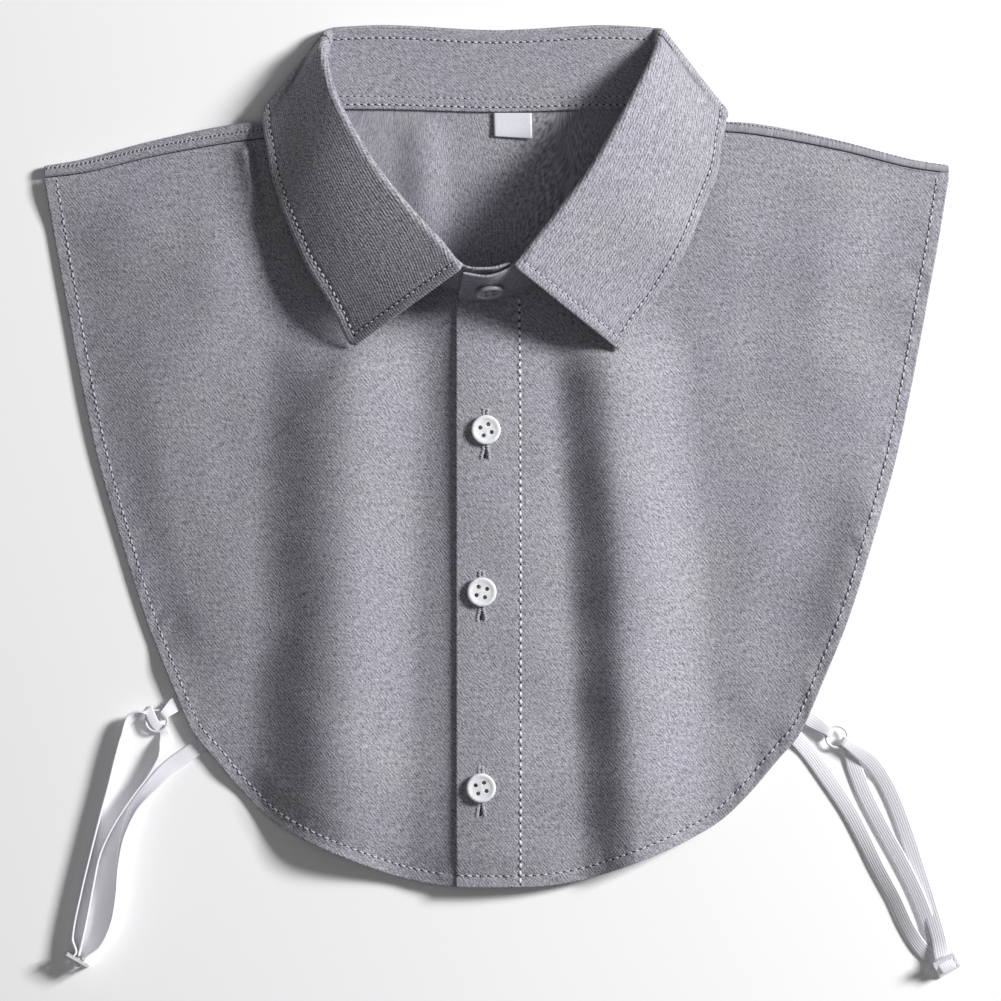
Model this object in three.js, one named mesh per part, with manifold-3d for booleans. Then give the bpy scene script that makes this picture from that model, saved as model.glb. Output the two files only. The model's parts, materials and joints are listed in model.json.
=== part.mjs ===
// Detachable half-shirt collar, lying on its back: a shirt collar on a short buttoned front
// and a back, with adjustable elastic straps at both sides. Millimetres, +Z up from the
// surface that it lies on, +Y from the hem towards the collar, +X towards the wearer's left.
import * as THREE from 'three';
import { mergeVertices } from 'three/addons/utils/BufferGeometryUtils.js';
import Module from 'manifold-3d';

const { Vector3, MathUtils } = THREE;
const wasm = await Module();
wasm.setup();

// Body
const BODY_WIDTH = 367;            // shoulder point to shoulder point
const FRONT_LENGTH = 239;          // hem to neck seam at the centre front
const SHOULDER_HEIGHT = 292;       // hem to shoulder point
const CLOTH = 1.0;                 // one layer of shirt cloth with its hem
const PLACKET_CLOTH = 1.6;         // the doubled placket
const PLACKET_WIDTH = 26.7;        // folded edge to stitch row
const PLACKET_LEFT = 16.4;         // from the body's middle out to the folded edge
const GAP = 0.3;                   // between pieces that lie on each other
const FACET_GAP = 0.35;            // extra room between sheets that curve over each other
const BACK_INSET = 10;             // the back's hem lies this far inside the front's
const HEM_HEIGHT = 3.6;            // middle of the front's hem above the surface
const CHEST_RISE = 4.4;            // how much higher the front stands away from its hem
const HEM_SLOPE = 45;              // the width in which it gets there
const FOLD_HEIGHT = 11;            // crest of the two long folds over the cloth beside them
const PLACKET_RISE = 4.4;          // how far the cloth rises to the placket's folded edge
const PLACKET_SLOPE = 15;          // the width in which it rises
const PLACKET_FALL = 60;           // the width in which it comes down on the other side
const SHOULDER_RISE = 3.4;         // how much higher the shoulder seam is at the neck
const SHOULDER_SLOPE = 30;         // the width in which the front leaves the seam's height

// Collar
const NECK_HALF_WIDTH = 65.6;      // half the width between the collar's back corners
const NECK_DEPTH = 107.7;          // front neck seam to back fold
const STAND_HEIGHT = 30.5;
const STAND_CLOTH = 1.6;
const LEAF_WIDTH = 46;             // at the back, from fold to edge
const LEAF_CLOTH = 1.6;
const ROLL_SOFTNESS = 1.0;         // extra radius of the roll where the collar stands up
const LEAF_CROWN = 1.6;            // how far the leaf bulges between its fold and its edge
const BACK_LIFT_SLOPE = 14;        // the width in which the back comes down off the leaf
const LEAF_MARGIN = 6;             // the back stays up this far past the leaf's edge
const LEAF_SPREAD = 1.50;          // half width of that raised part, in NECK_HALF_WIDTH
const STANDING = [0.05, 0.60];     // rises of the stand, as sines, from lying to standing
const OVER_SHOULDER = [0.055, 0.085];   // rises between which the leaf passes the shoulder
const SETTLING = [0.1, 0.6];       // shares of the leaf's width in which it settles on the front
const SEAM_LAP = 3.2;              // the back reaches this far under the stand's seam
const INSET_ENDS = [0.86, 0.985];  // shares of the outline in which the back's inset ends

// Buttons and label
const BUTTON_DIAMETER = 12;
const BUTTON_THICKNESS = 2.4;
const BUTTON_HOLE = 1.7;
const BUTTON_HOLE_SPREAD = 1.75;   // hole centres from the button's axes
const LABEL_WIDTH = 15.5;
const LABEL_DROP = 9.6;
const LABEL_CLOTH = 1.0;
const LABEL_OFFSET = 6.5;          // from the body's middle

// Elastic straps
const ELASTIC_WIDTH = 6.2;
const ELASTIC_CLOTH = 1.0;
const STRAP_REACH = 97;            // from the hem down to the slider
const RING_WIRE = 1.1;
const RING_CLEARANCE = 0.7;        // between the ring and the elastic's edges
const SLIDER_WIRE = 1.3;
const SLIDER_SLOT = 3.4;
const SLIDER_CLEARANCE = 0.4;      // between the slider and the elastic's edges
const TAB_LAP = 5;                 // how far the tab reaches under the front's hem
const THREAD_SHIFT = 1.0;          // the strap keeps this far from the tab in the ring
const PINCH = 0.62;                // share of its width to which elastic gathers in the ring
const RING_LIFT = 1.15;            // height of the ring's wire, in turns of elastic below it
const OVER_WIRE = 1.05;            // height of the strap right over and under the ring's wire
const PAST_WIRE = 1.10;            // and just past it, both in turns of elastic
const TAB_BEND = 1.5;              // where the tab leaves the hem, in TAB_LAP

const HALF_WIDTH = BODY_WIDTH / 2;
const RING_MIDDLE = ELASTIC_WIDTH / 2 + RING_CLEARANCE + RING_WIRE / 2;
const WIRE_TURN = RING_WIRE / 2 + GAP + ELASTIC_CLOTH / 2;
const RING_HEIGHT = RING_LIFT * WIRE_TURN + ELASTIC_CLOTH;
const WIRE_SAG = RING_MIDDLE - Math.sqrt(RING_MIDDLE ** 2 - (PINCH * ELASTIC_WIDTH / 2) ** 2);

// Outline of the front from the middle of its hem round to the shoulder point.
// across: share of half the body's width, up: share of the shoulder's height
const OUTLINE = [
  { across: 0.000, up: 0.000 }, { across: 0.105, up: 0.002 }, { across: 0.200, up: 0.012 },
  { across: 0.324, up: 0.039 }, { across: 0.423, up: 0.066 }, { across: 0.498, up: 0.094 },
  { across: 0.562, up: 0.133 }, { across: 0.621, up: 0.177 }, { across: 0.670, up: 0.214 },
  { across: 0.722, up: 0.288 }, { across: 0.775, up: 0.371 }, { across: 0.830, up: 0.481 },
  { across: 0.881, up: 0.592 }, { across: 0.919, up: 0.703 }, { across: 0.952, up: 0.813 },
  { across: 0.984, up: 0.924 }, { across: 1.000, up: 0.985 },
];

// Shoulder from its point to the neck. seam: where back meets front, edge: the rolled
// silhouette above it, both as shares of the shoulder's height
const SHOULDER = [
  { name: 'point', across: 1.000, seam: 0.985, edge: 1.001 },
  { name: 'outer', across: 0.910, seam: 0.992, edge: 1.011 },
  { name: 'middle', across: 0.760, seam: 1.014, edge: 1.036 },
  { name: 'inner', across: 0.590, seam: 1.033, edge: 1.058 },
  { name: 'under leaf', across: 0.490, seam: 1.040, edge: 1.062 },
  { name: 'neck', across: 0.428, seam: 1.037, edge: 1.056 },
];
const STRIP_SHARE = { left: 1, right: 0.62 };   // the right strip shows narrower

// Long folds of the front. Crest at the collar and at the hem, and widths on both sides
// of the crest, as shares of half the body's width. height: share of FOLD_HEIGHT
const FOLDS = [
  { name: 'left ridge', top: -0.350, hem: -0.370, left: 0.220, right: 0.180, height: 0.94 },
  { name: 'right ridge', top: 0.222, hem: 0.315, left: 0.130, right: 0.185, height: 0.68 },
  { name: 'right ripple', top: 0.830, hem: 0.700, left: 0.160, right: 0.120, height: 0.20 },
];
// The cloth between the ridges, held up by the doubled placket
const CENTRE = { across: 0.010, width: 0.46, height: 0.36 };
const FOLD_START = 1.00;           // share of FRONT_LENGTH at which the folds begin
const FOLD_GROWTH = 0.14;          // share of FRONT_LENGTH in which they reach full height
const FOLD_AT_HEM = 0.85;          // share of their height left at the hem
// Rise of the cloth towards the placket's folded edge, from the hem up to the neck seam.
// up: share of FRONT_LENGTH, height: share of PLACKET_RISE
const RISE = [
  { name: 'hem', up: 0.00, height: 0.50 }, { name: 'middle', up: 0.50, height: 0.65 },
  { name: 'top button', up: 0.85, height: 1.00 }, { name: 'neck seam', up: 1.00, height: 0.35 },
];

// Stations of the collar, from the end that lies under at the front, round the back, to
// the end that lies over. across, up: neck seam as shares of NECK_HALF_WIDTH, NECK_DEPTH.
// turn: compass angle of the stand from seam to fold, tilt: its rise (null: it lies on the
// leaf), tall: share of STAND_HEIGHT. fall: compass angle of the leaf, drop: its slope
// down (null: it lies below the back), wide: share of LEAF_WIDTH
const COLLAR = [
  ['under end', 0.10, 0.035, 97, 71, 0.94],
  ['under button', -0.05, 0.020, 85, 72, 0.95],
  ['left point', -0.29, 0.03, 58, 69, 0.97, -145, 23, 1.24],
  ['left front', -0.48, 0.12, 44, 65, 1.00, -146, 26, 1.16],
  ['left fall', -0.67, 0.23, 36, 63, 1.01, -144, 28, 1.09],
  ['left side', -0.93, 0.39, 33, 58, 1.01, -131, 27, 1.04],
  ['left neck', -1.14, 0.53, 37, 49, 1.00, -125, 24, 0.97],
  ['left shoulder', -1.21, 0.59, 54, 34, 0.95, -120, 15, 0.94],
  ['left turn', -1.18, 0.66, 74, 8, 0.98, -120, 1, 0.93],
  ['left over crease', -1.15, 0.69, 77, 5, 1.02, -127, -2, 0.86],
  ['left crease', -1.13, 0.70, 79, 3, 1.04, -128, 0, 0.86],
  ['left under crease', -1.10, 0.706, 80, null, 1.07, -125, null, 0.97],
  ['left corner', -1.08, 0.71, 80, null, 1.07, -114, null, 0.99],
  ['left back', -0.66, 0.71, 90, null, 1.08, -99, null, 1.00],
  ['back', 0.00, 0.70, 90, null, 1.05, -90, null, 0.99],
  ['right back', 0.64, 0.71, 90, null, 1.08, -79, null, 1.00],
  ['right corner', 1.06, 0.71, 103, null, 1.08, -64, null, 1.02],
  ['right under crease', 1.08, 0.706, 103, null, 1.08, -53, null, 1.00],
  ['right crease', 1.11, 0.70, 103, 3, 1.08, -52, 0, 0.92],
  ['right over crease', 1.14, 0.69, 108, 5, 1.06, -52, -2, 0.92],
  ['right turn', 1.17, 0.66, 113, 7, 1.05, -56, 1, 0.96],
  ['right shoulder', 1.12, 0.60, 131, 32, 0.99, -49, 13, 0.99],
  ['right neck', 1.01, 0.53, 148, 47, 1.03, -45, 20, 1.04],
  ['right side', 0.79, 0.39, 150, 57, 1.02, -40, 21, 1.09],
  ['right fall', 0.55, 0.24, 144, 63, 1.01, -40, 24, 1.16],
  ['right front', 0.37, 0.12, 136, 65, 1.00, -38, 25, 1.18],
  ['right point', 0.19, 0.03, 122, 69, 0.97, -38, 25, 1.21],
  ['over button', -0.05, -0.010, 87, 72, 0.95],
  ['over end', -0.24, -0.002, 75, 71, 0.96],
].map(([name, across, up, turn, tilt, tall, fall, drop, wide]) => (
  { name, across, up, turn, tilt, tall, fall, drop, wide }));

// Buttons down the placket. in: share of the placket's width from its folded edge,
// up: share of FRONT_LENGTH
const BUTTONS = [
  { name: 'button_1', in: 0.45, up: 0.776 },
  { name: 'button_2', in: 0.39, up: 0.502 },
  { name: 'button_3', in: 0.38, up: 0.171 },
];

// The straps' routes from a lap on the back's hem to the slider, up to the ring and down.
// hem: shares of HALF_WIDTH and SHOULDER_HEIGHT. out, down: from there, as shares of
// STRAP_REACH. roll: 0 lies flat, 90 stands on its edge
const STRAPS = [
  {
    side: 'left', sign: -1, hem: { across: -0.642, up: 0.202 },
    ring: { out: 0.208, down: -0.087 }, tab: { out: 0.075, down: -0.204 },
    slider: { out: 0.533, down: 0.910, turn: 150, lean: 0, roll: 90 },
    thread: 'through', threadTurn: -55,
    lap: [{ out: -0.138, down: -0.108 }, { out: -0.050, down: -0.036 }],
    lower: [
      { out: 0.062, down: 0.042, roll: 0 }, { out: 0.138, down: 0.096, roll: 8 },
      { out: 0.212, down: 0.167, roll: 28 }, { out: 0.300, down: 0.275, roll: 58 },
      { out: 0.350, down: 0.400, roll: 78 }, { out: 0.371, down: 0.529, roll: 86 },
      { out: 0.379, down: 0.650, roll: 90 }, { out: 0.400, down: 0.762, roll: 90 },
      { out: 0.446, down: 0.858, roll: 90 },
    ],
    outer: [
      { out: 0.558, down: 0.817, roll: 90 }, { out: 0.521, down: 0.625, roll: 90 },
      { out: 0.479, down: 0.450, roll: 90 }, { out: 0.442, down: 0.304, roll: 90 },
      { out: 0.408, down: 0.179, roll: 90 }, { out: 0.379, down: 0.062, roll: 90 },
      { out: 0.350, down: -0.029, roll: 85 }, { out: 0.312, down: -0.100, roll: 55 },
    ],
    inner: [
      { out: 0.171, down: 0.012, roll: 35 }, { out: 0.192, down: 0.066, roll: 75 },
      { out: 0.242, down: 0.142, roll: 90 }, { out: 0.308, down: 0.229, roll: 90 },
      { out: 0.362, down: 0.308, roll: 90 }, { out: 0.408, down: 0.388, roll: 90 },
      { out: 0.446, down: 0.479, roll: 90 }, { out: 0.471, down: 0.596, roll: 90 },
      { out: 0.492, down: 0.708, roll: 90 }, { out: 0.512, down: 0.804, roll: 90 },
    ],
  },
  {
    side: 'right', sign: 1, hem: { across: 0.664, up: 0.209 },
    ring: { out: 0.167, down: 0.000 }, tab: { out: 0.004, down: -0.108 },
    slider: { out: 0.625, down: 0.954, turn: 120, lean: 53, roll: 0 },
    thread: 'round', threadTurn: -34,
    lap: [{ out: -0.118, down: -0.135 }, { out: -0.045, down: -0.042 }],
    lower: [
      { out: 0.042, down: 0.062, roll: 0 }, { out: 0.121, down: 0.188, roll: 5 },
      { out: 0.196, down: 0.312, roll: 20 }, { out: 0.258, down: 0.438, roll: 35 },
      { out: 0.308, down: 0.546, roll: 48 }, { out: 0.383, down: 0.679, roll: 55 },
      { out: 0.450, down: 0.804, roll: 45 }, { out: 0.530, down: 0.900, roll: 20 },
    ],
    outer: [
      { out: 0.592, down: 0.838, roll: 15, lift: 3.0 }, { out: 0.554, down: 0.704, roll: 15 },
      { out: 0.504, down: 0.546, roll: 12 }, { out: 0.458, down: 0.404, roll: 12 },
      { out: 0.408, down: 0.271, roll: 12 }, { out: 0.358, down: 0.171, roll: 12 },
      { out: 0.308, down: 0.104, roll: 12, lift: 1.6 },
    ],
    inner: [
      { out: 0.242, down: 0.129, roll: 10 }, { out: 0.287, down: 0.246, roll: 25 },
      { out: 0.346, down: 0.379, roll: 40 }, { out: 0.408, down: 0.512, roll: 55 },
      { out: 0.471, down: 0.646, roll: 66 }, { out: 0.525, down: 0.771, roll: 74 },
    ],
  },
];

// How closely the back's rows crowd towards its neck
const BACK_CROWDING = 1.7;
const GRID = { frontAcross: 20, frontUp: 13, backAcross: 26, backUp: 11, roll: 5,
  collar: 2, leaf: 6, leafRoll: 4, strap: 3 };

const radians = MathUtils.degToRad;
const ease = MathUtils.smoothstep;

// Value at t of the smooth curve through values that lie at ascending positions
function through(positions, values, t) {
  const last = positions.length - 1;
  let k = 0;
  while (k < last - 1 && t > positions[k + 1]) k += 1;
  const slope = (i) => {
    const low = Math.max(i - 1, 0);
    const high = Math.min(i + 1, last);
    return (values[high] - values[low]) / (positions[high] - positions[low]);
  };
  const span = positions[k + 1] - positions[k];
  const q = MathUtils.clamp((t - positions[k]) / span, 0, 1);
  const rise = 3 * q * q - 2 * q * q * q;
  return values[k] + rise * (values[k + 1] - values[k])
    + span * (q * (1 - q) * (1 - q) * slope(k) - q * q * (1 - q) * slope(k + 1));
}

// Point at t of the smooth curve through points, by their distance along it
function curveThrough(points) {
  const positions = [0];
  for (let i = 1; i < points.length; i += 1) {
    positions.push(positions[i - 1] + points[i].distanceTo(points[i - 1]));
  }
  const length = positions[points.length - 1];
  const axes = ['x', 'y', 'z'].map((axis) => points.map((p) => p[axis]));
  const at = (t) => new Vector3(...axes.map((values) => through(positions, values, t * length)));
  return { at, positions: positions.map((p) => p / length), length };
}

// Closed solid of a sheet: grid holds rows of points on its middle surface
function sheetGeometry(grid, thicknessAt) {
  const rows = grid.length;
  const columns = grid[0].length;
  const positions = [];
  const faces = [];
  const normalAt = (i, j) => {
    const along = grid[Math.min(i + 1, rows - 1)][j].clone().sub(grid[Math.max(i - 1, 0)][j]);
    const across = grid[i][Math.min(j + 1, columns - 1)].clone().sub(grid[i][Math.max(j - 1, 0)]);
    return along.cross(across).normalize();
  };
  for (const side of [0.5, -0.5]) {
    for (let i = 0; i < rows; i += 1) {
      for (let j = 0; j < columns; j += 1) {
        const offset = normalAt(i, j).multiplyScalar(side * thicknessAt(i, j));
        positions.push(...grid[i][j].clone().add(offset).toArray());
      }
    }
  }
  const count = rows * columns;
  const quad = (a, b, c, d) => faces.push(a, b, c, a, c, d);
  for (let i = 0; i < rows - 1; i += 1) {
    for (let j = 0; j < columns - 1; j += 1) {
      const a = i * columns + j;
      quad(a, a + columns, a + columns + 1, a + 1);
      quad(count + a, count + a + 1, count + a + columns + 1, count + a + columns);
    }
  }
  const rim = [];
  for (let i = 0; i < rows - 1; i += 1) rim.push(i * columns);
  for (let j = 0; j < columns - 1; j += 1) rim.push((rows - 1) * columns + j);
  for (let i = rows - 1; i > 0; i -= 1) rim.push(i * columns + columns - 1);
  for (let j = columns - 1; j > 0; j -= 1) rim.push(j);
  rim.forEach((a, k) => {
    const b = rim[(k + 1) % rim.length];
    quad(a, count + a, count + b, b);
  });
  const geometry = new THREE.BufferGeometry();
  geometry.setAttribute('position', new THREE.Float32BufferAttribute(positions, 3));
  geometry.setIndex(faces);
  geometry.computeVertexNormals();
  return geometry;
}

// Outline and shoulder
const outlineCurve = curveThrough(OUTLINE.map((row) => (
  new Vector3(row.across * HALF_WIDTH, row.up * SHOULDER_HEIGHT, 0))));
const OUTLINE_STEPS = 60;
const outlinePoints = Array.from({ length: OUTLINE_STEPS + 1 }, (_, i) => (
  outlineCurve.at(i / OUTLINE_STEPS)));

function distanceToLine(x, y, points) {
  let nearest = Infinity;
  for (let i = 0; i < points.length - 1; i += 1) {
    const a = points[i];
    const b = points[i + 1];
    const length = (b.x - a.x) ** 2 + (b.y - a.y) ** 2;
    const q = MathUtils.clamp(((x - a.x) * (b.x - a.x) + (y - a.y) * (b.y - a.y)) / length, 0, 1);
    nearest = Math.min(nearest, Math.hypot(x - a.x - q * (b.x - a.x), y - a.y - q * (b.y - a.y)));
  }
  return nearest;
}

const shoulderPositions = SHOULDER.map((row) => -row.across);
const shoulderLine = (side, key, across) => {
  const edge = through(shoulderPositions, SHOULDER.map((row) => row.edge), -across);
  const seam = through(shoulderPositions, SHOULDER.map((row) => row.seam), -across);
  const share = key === 'seam' ? edge - (edge - seam) * STRIP_SHARE[side] : edge;
  return share * SHOULDER_HEIGHT;
};
const NECK_ACROSS = SHOULDER[SHOULDER.length - 1].across;
const shoulderHeight = (across) => (
  HEM_HEIGHT + SHOULDER_RISE * MathUtils.clamp((1 - across) / (1 - NECK_ACROSS), 0, 1));
const seamPoints = { left: [], right: [] };
for (const side of ['left', 'right']) {
  for (let i = 0; i <= 12; i += 1) {
    const across = MathUtils.lerp(1, NECK_ACROSS, i / 12);
    seamPoints[side].push(new Vector3(across * HALF_WIDTH, shoulderLine(side, 'seam', across), 0));
  }
}

const bell = (q) => (Math.abs(q) < 1 ? 0.5 + 0.5 * Math.cos(Math.PI * q) : 0);

// Height of the front's upper cloth, middle of its wall, above the surface
function frontHeight(x, y) {
  const across = Math.abs(x);
  const side = x < 0 ? 'left' : 'right';
  const inside = distanceToLine(across, y, outlinePoints);
  const chest = HEM_HEIGHT + CHEST_RISE * ease(inside, 0, HEM_SLOPE);
  const up = y / FRONT_LENGTH;
  const strength = ease(FOLD_START - up, 0, FOLD_GROWTH)
    * MathUtils.lerp(FOLD_AT_HEM, 1, ease(inside, 0, HEM_SLOPE));
  let folds = 0;
  for (const fold of FOLDS) {
    const crest = MathUtils.lerp(fold.hem, fold.top, up) * HALF_WIDTH;
    const width = (x < crest ? fold.left : fold.right) * HALF_WIDTH;
    folds += fold.height * FOLD_HEIGHT * strength * bell((x - crest) / width);
  }
  const centre = (x - CENTRE.across * HALF_WIDTH) / (CENTRE.width * HALF_WIDTH);
  folds += CENTRE.height * FOLD_HEIGHT * bell(centre);
  const rise = through(RISE.map((row) => row.up), RISE.map((row) => row.height), up);
  folds += rise * PLACKET_RISE * (ease(x, -PLACKET_LEFT - PLACKET_SLOPE, -PLACKET_LEFT)
    - ease(x, -PLACKET_LEFT, -PLACKET_LEFT + PLACKET_FALL));
  const below = distanceToLine(across, y, seamPoints[side]);
  const seam = shoulderHeight(across / HALF_WIDTH);
  return MathUtils.lerp(seam, chest + folds, ease(below, 0, SHOULDER_SLOPE));
}

// The lower front passes under the doubled placket
const UNDERLAP = (PLACKET_CLOTH + CLOTH) / 2 + GAP + FACET_GAP;
const UNDERLAP_SLOPE = 16;
const underHeight = (x, y) => (
  frontHeight(x, y) - UNDERLAP * ease(x, -PLACKET_LEFT - UNDERLAP_SLOPE, -PLACKET_LEFT));

// The back lies flat, and over the hidden part of the leaf at the neck
const BACK_ROLL = (STAND_CLOTH + LEAF_CLOTH) / 4 + GAP / 2 + FACET_GAP;
const backSeamY = FRONT_LENGTH + COLLAR.find((row) => row.name === 'back').up * NECK_DEPTH;
const LEAF_EDGE_Y = backSeamY + STAND_HEIGHT - LEAF_WIDTH - LEAF_MARGIN;
const LEAF_LIFT_ACROSS = LEAF_SPREAD * NECK_HALF_WIDTH;
const backHeight = (x, y) => CLOTH / 2 + (LEAF_CLOTH + GAP)
  * ease(y, LEAF_EDGE_Y - BACK_LIFT_SLOPE, LEAF_EDGE_Y)
  * (1 - ease(Math.abs(x), LEAF_LIFT_ACROSS, LEAF_LIFT_ACROSS + BACK_LIFT_SLOPE));

// Collar stations in space
const compass = (turn, rise) => new Vector3(
  Math.cos(radians(turn)) * Math.cos(radians(rise)),
  Math.sin(radians(turn)) * Math.cos(radians(rise)),
  Math.sin(radians(rise)));
const BACK_STAND_TOP = LEAF_CLOTH / 2 + 2 * BACK_ROLL;
const stations = COLLAR.map((row) => {
  const seam = new Vector3(row.across * NECK_HALF_WIDTH, FRONT_LENGTH + row.up * NECK_DEPTH, 0);
  return { row, seam };
});
const stationNamed = (name) => stations.find((station) => station.row.name === name);
for (const { row, seam } of stations) {
  const onBack = row.tilt === null || row.tilt <= 5;
  const isUnder = row.name.startsWith('under') || row.name.startsWith('left');
  const front = isUnder ? underHeight(seam.x, seam.y) : frontHeight(seam.x, seam.y);
  const rest = onBack ? backHeight(seam.x, seam.y) : front;
  const tilt = row.tilt === null ? 0 : row.tilt;
  seam.z = rest + CLOTH / 2 + GAP + (STAND_CLOTH / 2) * Math.cos(radians(tilt));
}
for (const side of ['left', 'right']) {
  const turnStation = stationNamed(`${side} turn`);
  const shoulder = stationNamed(`${side} shoulder`).seam.z;
  turnStation.seam.z = shoulder;
}
for (const station of stations) {
  const { row, seam } = station;
  const reach = compass(row.turn, row.tilt === null ? 0 : row.tilt);
  station.fold = seam.clone().addScaledVector(reach, row.tall * STAND_HEIGHT);
  if (row.tilt === null) station.fold.z = BACK_STAND_TOP;
  if (row.fall !== undefined) {
    station.leaf = compass(row.fall, row.drop === null ? 0 : -row.drop);
    station.wide = row.wide * LEAF_WIDTH;
  }
}
const foldCurve = curveThrough(stations.map((station) => station.fold));
const stationAt = foldCurve.positions;
const between = (key, t) => {
  const values = stations.map((station) => station[key]);
  return new Vector3(...['x', 'y', 'z'].map((axis) => (
    through(stationAt, values.map((value) => value[axis]), t))));
};

const materials = {
  cloth: new THREE.MeshStandardMaterial({ color: 0x8f8d99, roughness: 0.9, metalness: 0 }),
  button: new THREE.MeshStandardMaterial({ color: 0xf0eff0, roughness: 0.35, metalness: 0 }),
  label: new THREE.MeshStandardMaterial({ color: 0xe6e6ea, roughness: 0.6, metalness: 0 }),
  elastic: new THREE.MeshStandardMaterial({ color: 0xf0eff4, roughness: 0.8, metalness: 0 }),
  ring: new THREE.MeshStandardMaterial({ color: 0xe8e8ec, roughness: 0.3, metalness: 0 }),
};
const model = new THREE.Group();
function add(name, geometry, material) {
  const mesh = new THREE.Mesh(geometry, materials[material].clone());
  mesh.name = name;
  model.add(mesh);
  return mesh;
}

// Patch between four curves that share their corners: hem a to c, neck n to d
function patch(hem, neck, inner, outer, across, up, crowding = 1) {
  const grid = [];
  for (let i = 0; i <= across; i += 1) {
    const s = i / across;
    const row = [];
    for (let j = 0; j <= up; j += 1) {
      const t = 1 - (1 - j / up) ** crowding;
      const ruledUp = hem(s).lerp(neck(s), t);
      const ruledAcross = inner(t).lerp(outer(t), s);
      const corners = hem(0).lerp(hem(1), s).lerp(neck(0).lerp(neck(1), s), t);
      row.push(ruledUp.add(ruledAcross).sub(corners));
    }
    grid.push(row);
  }
  return grid;
}
const plan = (p) => new Vector3(p.x, p.y, 0);
const mirrored = (p, sign) => new Vector3(p.x * sign, p.y, p.z);

// Whole outline: -1 left shoulder point, 0 middle of the hem, 1 right shoulder point
const outlineAt = (q) => mirrored(outlineCurve.at(Math.abs(q)), q < 0 ? -1 : 1);
function outlineParameterAt(x) {
  let low = 0;
  let high = 0.5;
  for (let i = 0; i < 30; i += 1) {
    const middle = (low + high) / 2;
    if (outlineCurve.at(middle).x < Math.abs(x)) low = middle;
    else high = middle;
  }
  return x < 0 ? -low : low;
}
const shoulderPoint = (side, key, across) => new Vector3(
  (side === 'left' ? -1 : 1) * across * HALF_WIDTH, shoulderLine(side, key, across), 0);
const raised = (grid, heightAt) => grid.forEach((row) => row.forEach((p) => {
  p.z = heightAt(p.x, p.y);
}));

// Front from its inner edge to the shoulder seam
function frontPanel(name, side, innerX, rowNames, heightAt, thicknessAt) {
  const neckPoints = rowNames.map((rowName) => plan(stationNamed(rowName).seam));
  neckPoints[0].x = innerX;
  neckPoints.push(shoulderPoint(side, 'seam', NECK_ACROSS));
  const neckCurve = curveThrough(neckPoints);
  const start = outlineParameterAt(innerX);
  const end = side === 'left' ? -1 : 1;
  const hemEnd = shoulderPoint(side, 'seam', 1);
  const hem = (s) => (s === 1 ? hemEnd.clone() : outlineAt(MathUtils.lerp(start, end, s)));
  const inner = (t) => hem(0).lerp(neckCurve.at(0), t);
  const outer = (t) => shoulderPoint(side, 'seam', MathUtils.lerp(1, NECK_ACROSS, t));
  const grid = patch(hem, neckCurve.at, inner, outer, GRID.frontAcross, GRID.frontUp);
  raised(grid, heightAt);
  add(name, sheetGeometry(grid, (i, j) => thicknessAt(grid[i][j].x)), 'cloth');
}
const placketRight = PLACKET_WIDTH - PLACKET_LEFT;
frontPanel('front_panel_right', 'left', placketRight, [
  'under end', 'under button', 'left point', 'left front', 'left fall', 'left side', 'left neck',
], underHeight, () => CLOTH);
const placketThickness = (x) => (
  MathUtils.lerp(PLACKET_CLOTH, CLOTH, ease(x, placketRight, placketRight + CLOTH)));
frontPanel('front_panel_left', 'right', -PLACKET_LEFT, [
  'over end', 'over button', 'right point', 'right front', 'right fall', 'right side',
  'right neck',
], frontHeight, placketThickness);

// Back, rolled forward over both shoulders to their seams
function backPanel() {
  const inset = (p, q) => {
    const ahead = outlineAt(Math.min(q + 0.01, 1));
    const behind = outlineAt(Math.max(q - 0.01, -1));
    const inward = new Vector3(behind.y - ahead.y, ahead.x - behind.x, 0).normalize();
    return p.addScaledVector(inward, BACK_INSET * (1 - ease(Math.abs(q), ...INSET_ENDS)));
  };
  const rollRadius = (across) => (
    shoulderHeight(across) - backHeight(across * HALF_WIDTH, shoulderLine('left', 'edge', across))) / 2;
  const rollStart = (side, across) => {
    const p = shoulderPoint(side, 'edge', across);
    p.y -= rollRadius(across);
    return p;
  };
  const names = ['left corner', 'left back', 'back', 'right back', 'right corner'];
  const neckPoints = names.map((name) => plan(stationNamed(name).seam));
  neckPoints.forEach((p) => {
    p.y += SEAM_LAP;
  });
  neckPoints.unshift(rollStart('left', NECK_ACROSS));
  neckPoints.push(rollStart('right', NECK_ACROSS));
  const neckCurve = curveThrough(neckPoints);
  const hem = (s) => {
    const q = 2 * s - 1;
    if (s === 0) return rollStart('left', 1);
    if (s === 1) return rollStart('right', 1);
    return inset(outlineAt(q), q);
  };
  const left = (t) => rollStart('left', MathUtils.lerp(1, NECK_ACROSS, t));
  const right = (t) => rollStart('right', MathUtils.lerp(1, NECK_ACROSS, t));
  const grid = patch(hem, neckCurve.at, left, right, GRID.backAcross, GRID.backUp, BACK_CROWDING);
  raised(grid, backHeight);
  const rollRows = (side) => {
    const rows = [];
    for (let k = 1; k <= GRID.roll + 1; k += 1) {
      const row = [];
      for (let j = 0; j <= GRID.backUp; j += 1) {
        const t = 1 - (1 - j / GRID.backUp) ** BACK_CROWDING;
        const across = MathUtils.lerp(1, NECK_ACROSS, t);
        const p = rollStart(side, across);
        const radius = rollRadius(across);
        const flat = backHeight(p.x, p.y);
        const angle = Math.PI * Math.min(k / GRID.roll, 1);
        p.z = flat + radius * (1 - Math.cos(angle));
        p.y += radius * Math.sin(angle);
        if (k > GRID.roll) {
          p.y = Math.min(shoulderLine(side, 'seam', across) + CLOTH / 2 + GAP, p.y - GAP);
        }
        row.push(p);
      }
      rows.push(row);
    }
    return rows;
  };
  const whole = [...rollRows('left').reverse(), ...grid, ...rollRows('right')];
  add('back_panel', sheetGeometry(whole, () => CLOTH), 'cloth');
}
backPanel();

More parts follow.
